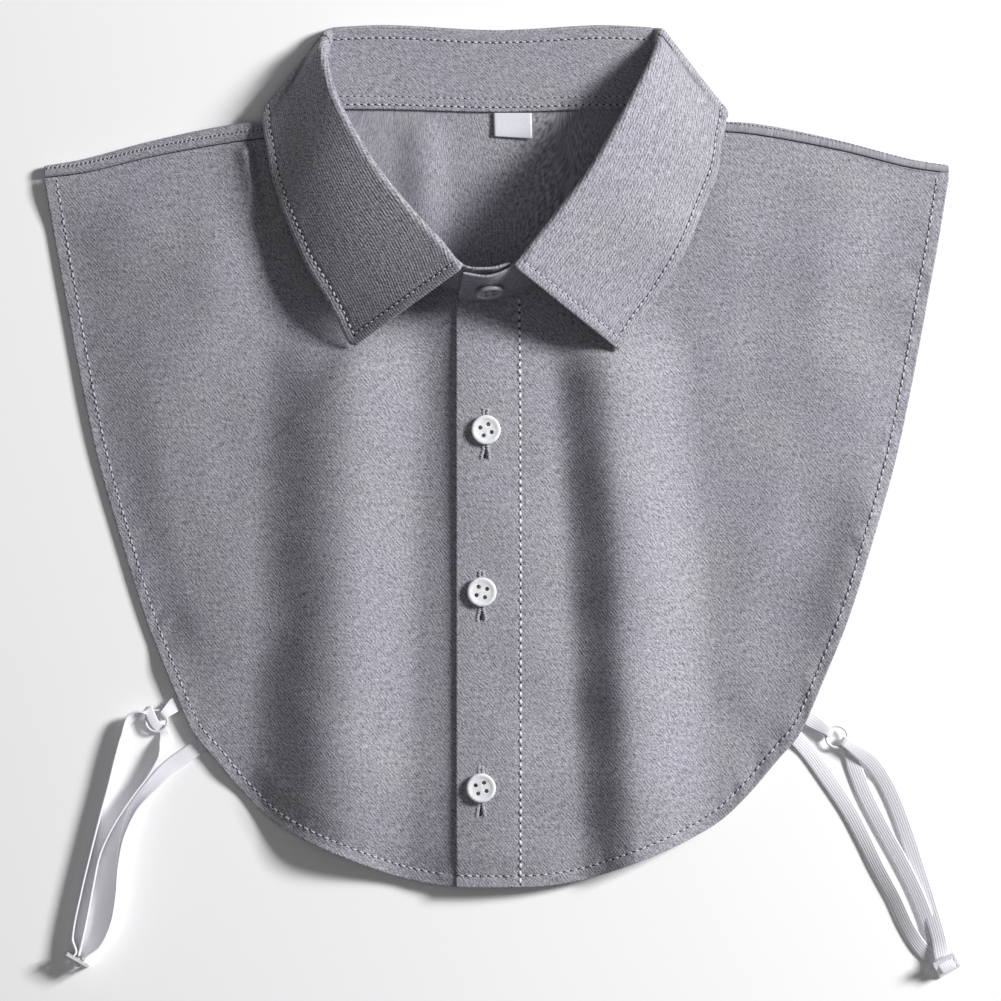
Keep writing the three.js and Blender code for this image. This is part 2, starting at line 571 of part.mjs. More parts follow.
// Collar stand: a band from seam to fold, its ends overlapping at the front
function standPoint(t, v) {
  return between('seam', t).lerp(between('fold', t), v);
}
function outwardAt(t) {
  const step = 0.004;
  const along = between('fold', Math.min(t + step, 1)).sub(between('fold', Math.max(t - step, 0)));
  const rise = between('fold', t).sub(between('seam', t));
  return rise.cross(along).normalize();
}
// Both layers are cut at the same places, so their facets follow each other
function collarSteps(from, to) {
  const steps = [];
  for (let i = from; i < to; i += 1) {
    for (let k = 0; k < GRID.collar; k += 1) {
      steps.push(MathUtils.lerp(stationAt[i], stationAt[i + 1], k / GRID.collar));
    }
  }
  return [...steps, stationAt[to]];
}
const stationIndex = (name) => stations.indexOf(stationNamed(name));
const standGrid = collarSteps(0, stations.length - 1).map((t) => (
  [0, 0.5, 1].map((v) => standPoint(t, v))));
add('collar_stand', sheetGeometry(standGrid, () => STAND_CLOTH), 'cloth');

// Collar leaf: rolls over the stand's top edge and falls outward to its own edge
const leafStations = stations.filter((station) => station.leaf);
const leafBetween = (key, t) => {
  const at = stationAt.filter((_, i) => stations[i].leaf);
  const values = leafStations.map((station) => station[key]);
  if (typeof values[0] === 'number') return through(at, values, t);
  return new Vector3(...['x', 'y', 'z'].map((axis) => (
    through(at, values.map((value) => value[axis]), t))));
};
const CLEAR = CLOTH / 2 + GAP + LEAF_CLOTH / 2;
function leafRow(t) {
  const fold = between('fold', t);
  const rise = fold.clone().sub(between('seam', t)).normalize();
  const outward = outwardAt(t);
  const fall = leafBetween('leaf', t).normalize();
  const wide = leafBetween('wide', t);
  const standing = ease(rise.z, ...STANDING);
  const radius = BACK_ROLL + ROLL_SOFTNESS * standing;
  const turn = Math.atan2(Math.max(fall.dot(outward), 0), fall.dot(rise));
  const base = fold.clone().addScaledVector(rise, GAP + FACET_GAP);
  const row = [];
  for (let k = 0; k <= GRID.leafRoll; k += 1) {
    const angle = (turn * k) / GRID.leafRoll;
    row.push(base.clone().addScaledVector(outward, radius * (1 - Math.cos(angle)))
      .addScaledVector(rise, radius * Math.sin(angle)));
  }
  const rolled = row[row.length - 1];
  const up = new Vector3(0, 0, 1);
  for (let k = 1; k <= GRID.leaf; k += 1) {
    const share = k / GRID.leaf;
    const p = rolled.clone().addScaledVector(fall, wide * share);
    p.addScaledVector(up, LEAF_CROWN * standing * Math.sin(Math.PI * share));
    row.push(p);
  }
  const over = ease(rise.z, ...OVER_SHOULDER);
  row.forEach((p, k) => {
    const share = Math.max(k - GRID.leafRoll, 0) / GRID.leaf;
    const rest = frontHeight(p.x, p.y) + CLEAR;
    const lift = Math.max(over * ease(share, ...SETTLING), standing);
    p.z = Math.max(p.z, MathUtils.lerp(p.z, rest, lift), LEAF_CLOTH / 2);
  });
  return row;
}
const leafGrid = collarSteps(stationIndex('left point'), stationIndex('right point')).map(leafRow);
add('collar_leaf', sheetGeometry(leafGrid, () => LEAF_CLOTH), 'cloth');

// Buttons
function buttonGeometry() {
  const disc = new THREE.Shape();
  disc.absarc(0, 0, BUTTON_DIAMETER / 2, 0, 2 * Math.PI, false);
  for (const [x, y] of [[1, 1], [1, -1], [-1, 1], [-1, -1]]) {
    const hole = new THREE.Path();
    hole.absarc(x * BUTTON_HOLE_SPREAD, y * BUTTON_HOLE_SPREAD, BUTTON_HOLE / 2, 0, 2 * Math.PI, true);
    disc.holes.push(hole);
  }
  const geometry = new THREE.ExtrudeGeometry(disc, {
    depth: BUTTON_THICKNESS, bevelEnabled: false, curveSegments: 4,
  });
  geometry.translate(0, 0, -BUTTON_THICKNESS / 2);
  return geometry;
}
function placed(mesh, position, facing) {
  mesh.position.copy(position);
  mesh.quaternion.setFromUnitVectors(new Vector3(0, 0, 1), facing);
}
function frontFacing(x, y) {
  const step = BUTTON_DIAMETER / 2;
  const slopeX = (frontHeight(x + step, y) - frontHeight(x - step, y)) / (2 * step);
  const slopeY = (frontHeight(x, y + step) - frontHeight(x, y - step)) / (2 * step);
  return new Vector3(-slopeX, -slopeY, 1).normalize();
}
for (const button of BUTTONS) {
  const x = -PLACKET_LEFT + button.in * PLACKET_WIDTH;
  const y = button.up * FRONT_LENGTH;
  const facing = frontFacing(x, y);
  const step = BUTTON_DIAMETER / 2;
  const rims = [[step, 0], [-step, 0], [0, step], [0, -step], [0, 0]].map(([dx, dy]) => (
    frontHeight(x + dx, y + dy) + (dx * facing.x + dy * facing.y) / facing.z));
  const top = new Vector3(x, y, Math.max(...rims));
  top.addScaledVector(facing, PLACKET_CLOTH / 2 + GAP + BUTTON_THICKNESS / 2);
  placed(add(button.name, buttonGeometry(), 'button'), top, facing);
}
const overButton = stationAt[stationIndex('over button')];
const collarButtonPoint = standPoint(overButton, 0.5)
  .addScaledVector(outwardAt(overButton), STAND_CLOTH / 2 + GAP + BUTTON_THICKNESS / 2);
placed(add('collar_button', buttonGeometry(), 'button'), collarButtonPoint, outwardAt(overButton));

// Label: a folded loop that hangs from the stand's seam on the inner back
const labelTop = stationNamed('back').seam.y - GAP;
const labelGrid = [0, 1].map((i) => [0, 0.5, 1].map((j) => {
  const x = LABEL_OFFSET + (i - 0.5) * LABEL_WIDTH;
  const y = labelTop - LABEL_DROP * j;
  return new Vector3(x, y, backHeight(x, labelTop) + CLOTH / 2 + GAP + LABEL_CLOTH / 2);
}));
add('size_label', sheetGeometry(labelGrid, () => LABEL_CLOTH), 'label');

// Elastic
// A flat band through controls: points with a width direction and a share of the width
function ribbon(controls) {
  const curve = curveThrough(controls.map((control) => control.point));
  const rows = [];
  const count = (controls.length - 1) * GRID.strap;
  for (let i = 0; i <= count; i += 1) {
    const low = Math.min(Math.floor(i / GRID.strap), controls.length - 2);
    const q = i / GRID.strap - low;
    const t = MathUtils.lerp(curve.positions[low], curve.positions[low + 1], q);
    const ahead = curve.at(Math.min(t + 0.002, 1)).sub(curve.at(Math.max(t - 0.002, 0))).normalize();
    const from = controls[low];
    const to = controls[low + 1];
    const across = from.across.clone().lerp(to.across, q);
    across.addScaledVector(ahead, -across.dot(ahead)).normalize();
    const wide = MathUtils.lerp(from.wide || 1, to.wide || 1, q) * ELASTIC_WIDTH;
    const row = [0.5, -0.5].map((side) => curve.at(t).addScaledVector(across, side * wide));
    const flatness = Math.hypot(across.x, across.y);
    const lowest = Math.min(row[0].z, row[1].z) - (flatness * ELASTIC_CLOTH) / 2;
    row.forEach((p) => {
      p.z -= Math.min(lowest, 0);
    });
    rows.push(row);
  }
  return sheetGeometry(rows, () => ELASTIC_CLOTH);
}
function solidOf(geometry) {
  const bare = geometry.clone();
  bare.deleteAttribute('normal');
  bare.deleteAttribute('uv');
  const merged = mergeVertices(bare);
  return new wasm.Manifold(new wasm.Mesh({
    numProp: 3, vertProperties: merged.attributes.position.array, triVerts: merged.index.array,
  }));
}
// Slider: a plate with two slots, which leave a bar in the middle
function sliderGeometry(halfLength, halfWide, slotMiddle) {
  const opening = 2 * (halfWide - SLIDER_WIRE);
  let solid = solidOf(new THREE.BoxGeometry(2 * halfLength, 2 * halfWide, SLIDER_WIRE));
  for (const middleOfSlot of [-slotMiddle, slotMiddle]) {
    const slot = new THREE.BoxGeometry(SLIDER_SLOT, opening, 2 * SLIDER_WIRE);
    slot.translate(middleOfSlot, 0, 0);
    solid = solid.subtract(solidOf(slot));
  }
  const mesh = solid.getMesh();
  const geometry = new THREE.BufferGeometry();
  geometry.setAttribute('position', new THREE.BufferAttribute(mesh.vertProperties, 3));
  geometry.setIndex(new THREE.BufferAttribute(mesh.triVerts, 1));
  geometry.computeVertexNormals();
  return geometry;
}
// Controls of a band that turns round a wire, narrowed because the wire curves away.
// along: direction in which angle 0 lies
function wireTurn(centre, along, angles, across) {
  return angles.map((angle) => {
    const reach = WIRE_TURN * Math.cos(radians(angle)) - (angle > 90 && angle < 270 ? WIRE_SAG : 0);
    const point = centre.clone().addScaledVector(along, reach);
    point.z += WIRE_TURN * Math.sin(radians(angle));
    return { point, across: across.clone(), wide: PINCH };
  });
}
for (const strap of STRAPS) {
  const origin = new Vector3(strap.hem.across * HALF_WIDTH, strap.hem.up * SHOULDER_HEIGHT, 0);
  const placeAt = ({ out, down }, z = 0) => new Vector3(
    origin.x + strap.sign * out * STRAP_REACH, origin.y - down * STRAP_REACH, z);
  const ringCentre = placeAt(strap.ring, RING_HEIGHT);
  const tabStart = placeAt(strap.tab, 0);
  const toTab = plan(tabStart).sub(plan(ringCentre)).normalize();
  const tabAcross = new Vector3(-toTab.y, toTab.x, 0);

  const ring = new THREE.TorusGeometry(RING_MIDDLE, RING_WIRE / 2, 6, 16);
  add(`strap_ring_${strap.side}`, ring, 'ring').position.copy(ringCentre);

  const nearWire = ringCentre.clone().addScaledVector(toTab, RING_MIDDLE);
  const hemUnder = HEM_HEIGHT - (CLOTH + ELASTIC_CLOTH) / 2 - GAP;
  const tabPoint = (along, z) => ({
    point: tabStart.clone().addScaledVector(toTab, -along * TAB_LAP).setZ(z), across: tabAcross,
  });
  const tabTurn = wireTurn(nearWire, toTab, [270, 225, 180, 135, 90], tabAcross);
  const layer = ELASTIC_CLOTH + GAP;
  const tabControls = [tabPoint(0, hemUnder - layer), tabPoint(TAB_BEND, hemUnder - layer),
    ...tabTurn, tabPoint(TAB_BEND, hemUnder), tabPoint(0, hemUnder)];
  add(`strap_tab_${strap.side}`, ribbon(tabControls), 'elastic');

  // The slider and the strap's turn round its middle bar
  const slider = strap.slider;
  const sliderCentre = placeAt(slider, 0);
  const barAcross = slider.roll === 90 ? new Vector3(0, 0, 1) : compass(slider.turn - 90, 0);
  const toOuter = compass(slider.turn, slider.lean);
  const outside = toOuter.clone().cross(barAcross).normalize();
  if (outside.y > 0) outside.negate();
  const slotMiddle = (SLIDER_WIRE + SLIDER_SLOT) / 2;
  const halfLength = SLIDER_WIRE * 1.5 + SLIDER_SLOT;
  const halfWide = ELASTIC_WIDTH / 2 + SLIDER_CLEARANCE + SLIDER_WIRE;
  sliderCentre.z = Math.abs(toOuter.z) * halfLength + Math.abs(barAcross.z) * halfWide
    + (Math.abs(outside.z) * SLIDER_WIRE) / 2;
  const plateGeometry = sliderGeometry(halfLength, halfWide, slotMiddle);
  const sliderMesh = add(`strap_slider_${strap.side}`, plateGeometry, 'ring');
  const facing = toOuter.clone().cross(barAcross);
  sliderMesh.position.copy(sliderCentre);
  sliderMesh.quaternion.setFromRotationMatrix(new THREE.Matrix4().makeBasis(toOuter, barAcross, facing));
  const sliderTurn = [-1, 0, 45, 90, 135, 180, 181].map((angle) => {
    const p = sliderCentre.clone().addScaledVector(toOuter, -slotMiddle * Math.cos(radians(angle)));
    const straight = angle < 0 || angle > 180;
    p.addScaledVector(outside, straight ? -slotMiddle : slotMiddle * Math.sin(radians(angle)));
    return { point: p, across: barAcross.clone() };
  });

  // Where the strap threads the ring
  const travel = compass(strap.threadTurn, 0);
  const travelAcross = new Vector3(-travel.y, travel.x, 0);
  const thread = [];
  if (strap.thread === 'through') {
    const past = RING_MIDDLE + RING_WIRE;
    for (const [along, level] of [[-past, PAST_WIRE], [-RING_MIDDLE, OVER_WIRE], [0, 0],
      [RING_MIDDLE, -OVER_WIRE], [past, -PAST_WIRE]]) {
      const p = ringCentre.clone().addScaledVector(travel, along);
      p.addScaledVector(toTab, -THREAD_SHIFT * (1 - Math.abs(along) / past));
      p.z += level * WIRE_TURN;
      thread.push({ point: p, across: travelAcross.clone(), wide: PINCH });
    }
  } else {
    const farWire = ringCentre.clone().addScaledVector(travel, RING_MIDDLE);
    thread.push(...wireTurn(farWire, travel, [60, 90, 135, 180, 225, 270, 300], travelAcross));
  }

  // The whole route, with every width direction turned the way of the one before it
  const route = (rows) => rows.map((row) => ({ row, point: placeAt(row) }));
  const onBack = CLOTH + GAP + ELASTIC_CLOTH / 2;
  const lap = strap.lap.map((row) => (
    { row: { roll: 0, height: onBack }, point: placeAt(row) }));
  const controls = [...lap, ...route(strap.lower), ...sliderTurn, ...route(strap.outer),
    ...thread, ...route(strap.inner)];
  controls.forEach((control, i) => {
    if (!control.row) return;
    const before = controls[Math.max(i - 1, 0)].point;
    const after = controls[Math.min(i + 1, controls.length - 1)].point;
    const along = plan(after).sub(plan(before)).normalize();
    const level = new Vector3(-along.y, along.x, 0);
    const roll = radians(control.row.roll);
    control.roll = roll;
    control.level = level;
    control.point.z = control.row.height || (control.row.lift || 0)
      + Math.sin(roll) * ELASTIC_WIDTH / 2 + Math.cos(roll) * ELASTIC_CLOTH / 2;
  });
  let previous = null;
  for (const control of controls) {
    if (control.level) {
      const choices = [];
      for (const a of [1, -1]) {
        for (const b of [1, -1]) {
          choices.push(control.level.clone().multiplyScalar(a * Math.cos(control.roll))
            .addScaledVector(new Vector3(0, 0, 1), b * Math.sin(control.roll)));
        }
      }
      choices.sort((p, q) => (previous ? q.dot(previous) - p.dot(previous) : 0));
      [control.across] = choices;
    } else if (previous && control.across.dot(previous) < 0) {
      control.across.negate();
    }
    previous = control.across;
  }
  add(`strap_${strap.side}`, ribbon(controls), 'elastic');
}

// Origin on the surface, under the middle of the whole
model.updateMatrixWorld(true);
const bounds = new THREE.Box3().setFromObject(model, true);
const middle = bounds.getCenter(new Vector3());
for (const mesh of model.children) {
  mesh.position.sub(new Vector3(middle.x, middle.y, bounds.min.z));
}

export default model;
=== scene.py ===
# %% [markdown]
# # Dressing a half-shirt collar
# This collar is worn under a pullover: a shirt collar on a short buttoned front and a
# back, with elastic straps at both sides. It lies on its back on a pale surface, and the
# camera looks straight down at it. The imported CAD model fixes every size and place. The
# script adds what makes it cloth: hems, puckers, stitches, weave, buttons and light.

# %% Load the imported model
import json
import math

import bpy
import numpy as np
from mathutils import Matrix, Vector

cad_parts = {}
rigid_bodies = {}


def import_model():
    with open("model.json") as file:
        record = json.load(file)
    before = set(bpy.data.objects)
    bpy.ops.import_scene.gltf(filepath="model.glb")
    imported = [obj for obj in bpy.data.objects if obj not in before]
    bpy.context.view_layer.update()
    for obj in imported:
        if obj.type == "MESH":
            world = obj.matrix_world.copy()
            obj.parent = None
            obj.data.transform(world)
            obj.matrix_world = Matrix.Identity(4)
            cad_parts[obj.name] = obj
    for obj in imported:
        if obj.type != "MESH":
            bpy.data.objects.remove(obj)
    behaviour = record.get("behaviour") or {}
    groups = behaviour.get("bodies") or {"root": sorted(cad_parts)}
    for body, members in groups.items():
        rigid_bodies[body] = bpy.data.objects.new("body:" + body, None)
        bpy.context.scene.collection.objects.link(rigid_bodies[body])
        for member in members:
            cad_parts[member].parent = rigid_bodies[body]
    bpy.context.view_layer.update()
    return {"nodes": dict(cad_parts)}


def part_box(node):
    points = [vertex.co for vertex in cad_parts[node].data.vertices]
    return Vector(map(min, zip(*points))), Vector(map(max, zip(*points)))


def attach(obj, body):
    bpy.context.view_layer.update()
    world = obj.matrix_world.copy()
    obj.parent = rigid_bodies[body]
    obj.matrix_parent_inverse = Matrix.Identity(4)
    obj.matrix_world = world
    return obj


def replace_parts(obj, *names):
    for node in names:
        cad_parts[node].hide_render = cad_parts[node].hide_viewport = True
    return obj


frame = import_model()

# %% [markdown]
# ## Sizes
# The pattern pieces are cut to the same sizes as the solids, in millimetres, so cloth and
# solids share one outline. They are measured from the middle of the hem. The label's top
# edge is a place that both models know exactly, so it gives the way from one to the other.

# %% Sizes of the pattern
BODY_WIDTH, FRONT_LENGTH, SHOULDER_HEIGHT = 367.0, 239.0, 292.0
CLOTH, PLACKET_CLOTH, GAP, FACET_GAP = 1.0, 1.6, 0.3, 0.35
PLACKET_WIDTH, PLACKET_LEFT, BACK_INSET = 26.7, 16.4, 10.0
HEM_HEIGHT, CHEST_RISE, HEM_SLOPE, FOLD_HEIGHT = 3.6, 4.4, 45.0, 11.0
PLACKET_RISE, PLACKET_SLOPE, PLACKET_FALL = 4.4, 19.0, 60.0
SHOULDER_RISE, SHOULDER_SLOPE = 3.4, 30.0
NECK_HALF_WIDTH, NECK_DEPTH = 65.6, 107.7
STAND_HEIGHT, STAND_CLOTH, LEAF_WIDTH, LEAF_CLOTH = 30.5, 1.6, 46.0, 1.6
ROLL_SOFTNESS, LEAF_CROWN, BACK_LIFT_SLOPE, LEAF_MARGIN = 1.0, 1.6, 14.0, 6.0
BUTTON_DIAMETER, BUTTON_THICKNESS, BUTTON_HOLE, BUTTON_HOLE_SPREAD = 12.0, 2.4, 1.7, 1.75
LABEL_WIDTH, LABEL_DROP, LABEL_CLOTH, LABEL_OFFSET = 15.5, 9.6, 1.0, 6.5
ELASTIC_WIDTH, ELASTIC_CLOTH, STRAP_REACH = 6.2, 1.0, 97.0
RING_WIRE, RING_CLEARANCE, TAB_LAP, THREAD_SHIFT, PINCH = 1.1, 0.7, 5.0, 1.0, 0.62
SLIDER_WIRE, SLIDER_SLOT, SLIDER_CLEARANCE = 1.3, 3.4, 0.4

HALF_WIDTH = BODY_WIDTH / 2
MM = 0.001
label_low, label_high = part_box("size_label")
label_top = FRONT_LENGTH + 0.70 * NECK_DEPTH - GAP
shift = np.array([(label_low.x + label_high.x) / 2 / MM - LABEL_OFFSET,
                  label_high.y / MM - label_top, 0.0])
print("pattern to model, mm:", shift.round(2))

# %% [markdown]
# ## Smooth lines through a few points
# A tailor draws a curve through a few marks. These helpers do the same: a smooth line
# through values that lie at known places, and the distance of many points to a drawn line.

# %% Curves
def ease(x, low, high):
    q = np.clip((x - low) / (high - low), 0, 1)
    return q * q * (3 - 2 * q)


def bell(q):
    return np.where(np.abs(q) < 1, 0.5 + 0.5 * np.cos(np.pi * np.clip(q, -1, 1)), 0)


def unit(v):
    return v / np.linalg.norm(v, axis=-1, keepdims=True)


def through(places, values, t):
    places, values = np.asarray(places, float), np.asarray(values, float)
    last = len(places) - 1
    low = np.maximum(np.arange(last + 1) - 1, 0)
    high = np.minimum(np.arange(last + 1) + 1, last)
    width = (places[high] - places[low]).reshape([-1] + [1] * (values.ndim - 1))
    slope = (values[high] - values[low]) / width
    k = np.clip(np.searchsorted(places, t, side="left") - 1, 0, last - 1)
    span = places[k + 1] - places[k]
    q = np.clip((t - places[k]) / span, 0, 1)
    if values.ndim > 1:
        q, span = np.asarray(q)[..., None], np.asarray(span)[..., None]
    rise = q * q * (3 - 2 * q)
    bend = span * (q * (1 - q) ** 2 * slope[k] - q * q * (1 - q) * slope[k + 1])
    return values[k] + rise * (values[k + 1] - values[k]) + bend


def line_through(points):
    points = np.asarray(points, float)
    steps = np.linalg.norm(np.diff(points, axis=0), axis=1)
    places = np.concatenate([[0], np.cumsum(steps)])
    places, length = places / places[-1], places[-1]
    return (lambda t: through(places, points, t)), places, length


def distance_to(x, y, line):
    nearest = np.full(np.shape(x), np.inf)
    for a, b in zip(line[:-1], line[1:]):
        d = b[:2] - a[:2]
        q = np.clip(((x - a[0]) * d[0] + (y - a[1]) * d[1]) / (d @ d), 0, 1)
        nearest = np.minimum(nearest, np.hypot(x - a[0] - q * d[0], y - a[1] - q * d[1]))
    return nearest


print("a smooth line half way from 0 to 1:", through([0, 1], [0.0, 1.0], 0.5))

# %% [markdown]
# ## The outline
# The hem is a deep curve from shoulder point to shoulder point, the same on both sides. The
# shoulder has two lines: the outer edge, and the seam where the strip of the back ends.

# %% Outline
OUTLINE = np.array([
    (0.000, 0.000), (0.105, 0.002), (0.200, 0.012), (0.324, 0.039), (0.423, 0.066),
    (0.498, 0.094), (0.562, 0.133), (0.621, 0.177), (0.670, 0.214), (0.722, 0.288),
    (0.775, 0.371), (0.830, 0.481), (0.881, 0.592), (0.919, 0.703), (0.952, 0.813),
    (0.984, 0.924), (1.000, 0.985)]) * (HALF_WIDTH, SHOULDER_HEIGHT)
SHOULDER = np.array([
    (1.000, 0.985, 1.001), (0.910, 0.992, 1.011), (0.760, 1.014, 1.036),
    (0.590, 1.033, 1.058), (0.490, 1.040, 1.062), (0.428, 1.037, 1.056)])
STRIP_SHARE = {"left": 1.0, "right": 0.62}
NECK_ACROSS = SHOULDER[-1, 0]

hem_line, _, hem_length = line_through(OUTLINE)
hem_marks = hem_line(np.linspace(0, 1, 61))


def shoulder_line(side, key, across):
    edge = through(-SHOULDER[:, 0], SHOULDER[:, 2], -np.asarray(across))
    seam = through(-SHOULDER[:, 0], SHOULDER[:, 1], -np.asarray(across))
    return (edge - (edge - seam) * STRIP_SHARE[side] * (key == "seam")) * SHOULDER_HEIGHT


def shoulder_height(across):
    return HEM_HEIGHT + SHOULDER_RISE * np.clip((1 - across) / (1 - NECK_ACROSS), 0, 1)


seam_marks = {}
for side in ("left", "right"):
    across = np.linspace(1, NECK_ACROSS, 13)
    seam_marks[side] = np.stack([across * HALF_WIDTH, shoulder_line(side, "seam", across)], 1)


print("hem length, mm:", round(2 * hem_length))

# %% [markdown]
# ## The long folds
# The front lies on the back with air between them, so it stands in two long soft folds on
# both sides of the placket. A cloth simulation would put them where it likes. Here each
# fold is one row of a table: where its crest starts and ends, how wide its two slopes are
# and how high it stands.

# %% Folds of the front
FOLDS = [
    dict(top=-0.325, hem=-0.370, left=0.196, right=0.190, height=1.02),
    dict(top=0.245, hem=0.322, left=0.140, right=0.190, height=1.05),
    dict(top=0.830, hem=0.700, left=0.160, right=0.120, height=0.20)]
CENTRE = dict(across=0.010, width=0.46, height=0.36)
FOLD_START, FOLD_GROWTH, FOLD_AT_HEM = 1.00, 0.14, 0.85
RISE = np.array([(0.00, 0.62), (0.50, 0.75), (0.85, 1.12), (1.00, 0.72)])


def front_height(x, y):
    x, y = np.asarray(x, float), np.asarray(y, float)
    inside = distance_to(np.abs(x), y, hem_marks)
    chest = HEM_HEIGHT + CHEST_RISE * ease(inside, 0, HEM_SLOPE)
    up = y / FRONT_LENGTH
    strength = ease(FOLD_START - up, 0, FOLD_GROWTH)
    strength = strength * (FOLD_AT_HEM + (1 - FOLD_AT_HEM) * ease(inside, 0, HEM_SLOPE))
    folds = 0
    for fold in FOLDS:
        crest = (fold["hem"] + (fold["top"] - fold["hem"]) * up) * HALF_WIDTH
        width = np.where(x < crest, fold["left"], fold["right"]) * HALF_WIDTH
        folds = folds + fold["height"] * FOLD_HEIGHT * strength * bell((x - crest) / width)
    centre = (x - CENTRE["across"] * HALF_WIDTH) / (CENTRE["width"] * HALF_WIDTH)
    folds = folds + CENTRE["height"] * FOLD_HEIGHT * bell(centre)
    rise = PLACKET_RISE * through(RISE[:, 0], RISE[:, 1], up)
    slope = np.clip((x + PLACKET_LEFT) / PLACKET_SLOPE + 1, 0, 1) ** 2
    rise = rise * (slope - ease(x, -PLACKET_LEFT, -PLACKET_LEFT + PLACKET_FALL))
    folds = folds + rise
    below = np.where(x < 0, distance_to(np.abs(x), y, seam_marks["left"]),
                     distance_to(np.abs(x), y, seam_marks["right"]))
    seam = shoulder_height(np.abs(x) / HALF_WIDTH)
    return seam + (chest + folds - seam) * ease(below, 0, SHOULDER_SLOPE)


print("chest height, mm:", front_height(0, 150).round(2))

# %% [markdown]
# ## What lies lower
# The right front dips under the placket by the thickness of the cloth. The back lies on the
# table, but it rises near the neck, because the leaf is folded away under it.

# %% Heights under the placket and of the back
UNDERLAP = (PLACKET_CLOTH + CLOTH) / 2 + GAP + FACET_GAP
UNDERLAP_SLOPE = 16.0


def under_height(x, y, underlap=UNDERLAP):
    return front_height(x, y) - underlap * ease(x, -PLACKET_LEFT - UNDERLAP_SLOPE, -PLACKET_LEFT)


BACK_ROLL = (STAND_CLOTH + LEAF_CLOTH) / 4 + GAP / 2 + FACET_GAP
LEAF_EDGE_Y = FRONT_LENGTH + 0.70 * NECK_DEPTH + STAND_HEIGHT - LEAF_WIDTH - LEAF_MARGIN
LEAF_LIFT_ACROSS = 1.50 * NECK_HALF_WIDTH


def back_height(x, y):
    lift = ease(y, LEAF_EDGE_Y - BACK_LIFT_SLOPE, LEAF_EDGE_Y)
    lift = lift * (1 - ease(np.abs(x), LEAF_LIFT_ACROSS, LEAF_LIFT_ACROSS + BACK_LIFT_SLOPE))
    return CLOTH / 2 + (LEAF_CLOTH + GAP) * lift


print("placket stands over the right front, mm:", round(UNDERLAP, 2))

# %% [markdown]
# ## Where the straps run
# Each strap starts on the back's hem, goes down to its slider, up to the ring and back
# down. Places are shares of the straps' reach, out from the hem and down. The third value
# is the band's roll: 0 lies flat and 90 stands on its edge. A fourth lifts it, in mm.

# %% Routes of the straps
STRAPS = [
    dict(side="left", sign=-1, hem=(-0.642, 0.202), ring=(0.208, -0.087), tab=(0.075, -0.204),
         slider=dict(out=0.533, down=0.910, turn=150, lean=0, roll=90), thread_turn=-55,
         lap=[(-0.138, -0.108), (-0.050, -0.036)],
         lower=[(0.062, 0.042, 0), (0.138, 0.096, 8), (0.212, 0.167, 28), (0.300, 0.275, 58),
                (0.350, 0.400, 78), (0.371, 0.529, 86), (0.379, 0.650, 90), (0.400, 0.762, 90),
                (0.446, 0.858, 90)],
         outer=[(0.558, 0.817, 90), (0.521, 0.625, 90), (0.479, 0.450, 90), (0.442, 0.304, 90),
                (0.408, 0.179, 90), (0.379, 0.062, 90), (0.350, -0.029, 85),
                (0.312, -0.100, 55)],
         inner=[(0.171, 0.012, 35), (0.192, 0.066, 75), (0.242, 0.142, 90), (0.308, 0.229, 90),
                (0.362, 0.308, 90), (0.408, 0.388, 90), (0.446, 0.479, 90), (0.471, 0.596, 90),
                (0.492, 0.708, 90), (0.512, 0.804, 90), (0.524, 0.862, 90),
                (0.531, 0.893, 90)]),
    dict(side="right", sign=1, hem=(0.664, 0.209), ring=(0.167, 0.000), tab=(0.004, -0.108),
         slider=dict(out=0.625, down=0.954, turn=120, lean=53, roll=0), thread_turn=-34,
         lap=[(-0.118, -0.135), (-0.045, -0.042)],
         lower=[(0.048, 0.062, 0), (0.138, 0.188, 5), (0.220, 0.312, 10), (0.286, 0.438, 16),
                (0.338, 0.546, 22), (0.410, 0.679, 26), (0.468, 0.804, 24), (0.535, 0.900, 15)],
         outer=[(0.592, 0.838, 15, 3.0), (0.554, 0.704, 15), (0.504, 0.546, 12),
                (0.458, 0.404, 12), (0.408, 0.271, 12), (0.358, 0.171, 12),
                (0.308, 0.104, 12, 1.6)],
         inner=[(0.242, 0.129, 8), (0.288, 0.246, 10), (0.356, 0.379, 14),
                (0.430, 0.512, 16), (0.497, 0.646, 18), (0.547, 0.771, 18),
                (0.572, 0.850, 16, 0.8), (0.594, 0.905, 12, 0.8)])]
print("places on the straps:", [sum(len(strap[key]) for key in ("lap", "lower", "outer", "inner"))
                                for strap in STRAPS])

# %% [markdown]
# ## How thick the cloth looks
# The solids need walls of a millimetre and more. Shirt cloth is thinner: one layer with its
# hem is 0.75 mm, the doubled placket 1.1 mm, and stand and leaf with their stiffener 1.2 mm.
# The sheets here follow the solids and get the cloth's own thickness. A table adds the
# small dips and swells that cloth takes when it is laid down: a row for each, with its
# place, the way it runs, its half length, half width and height in mm.

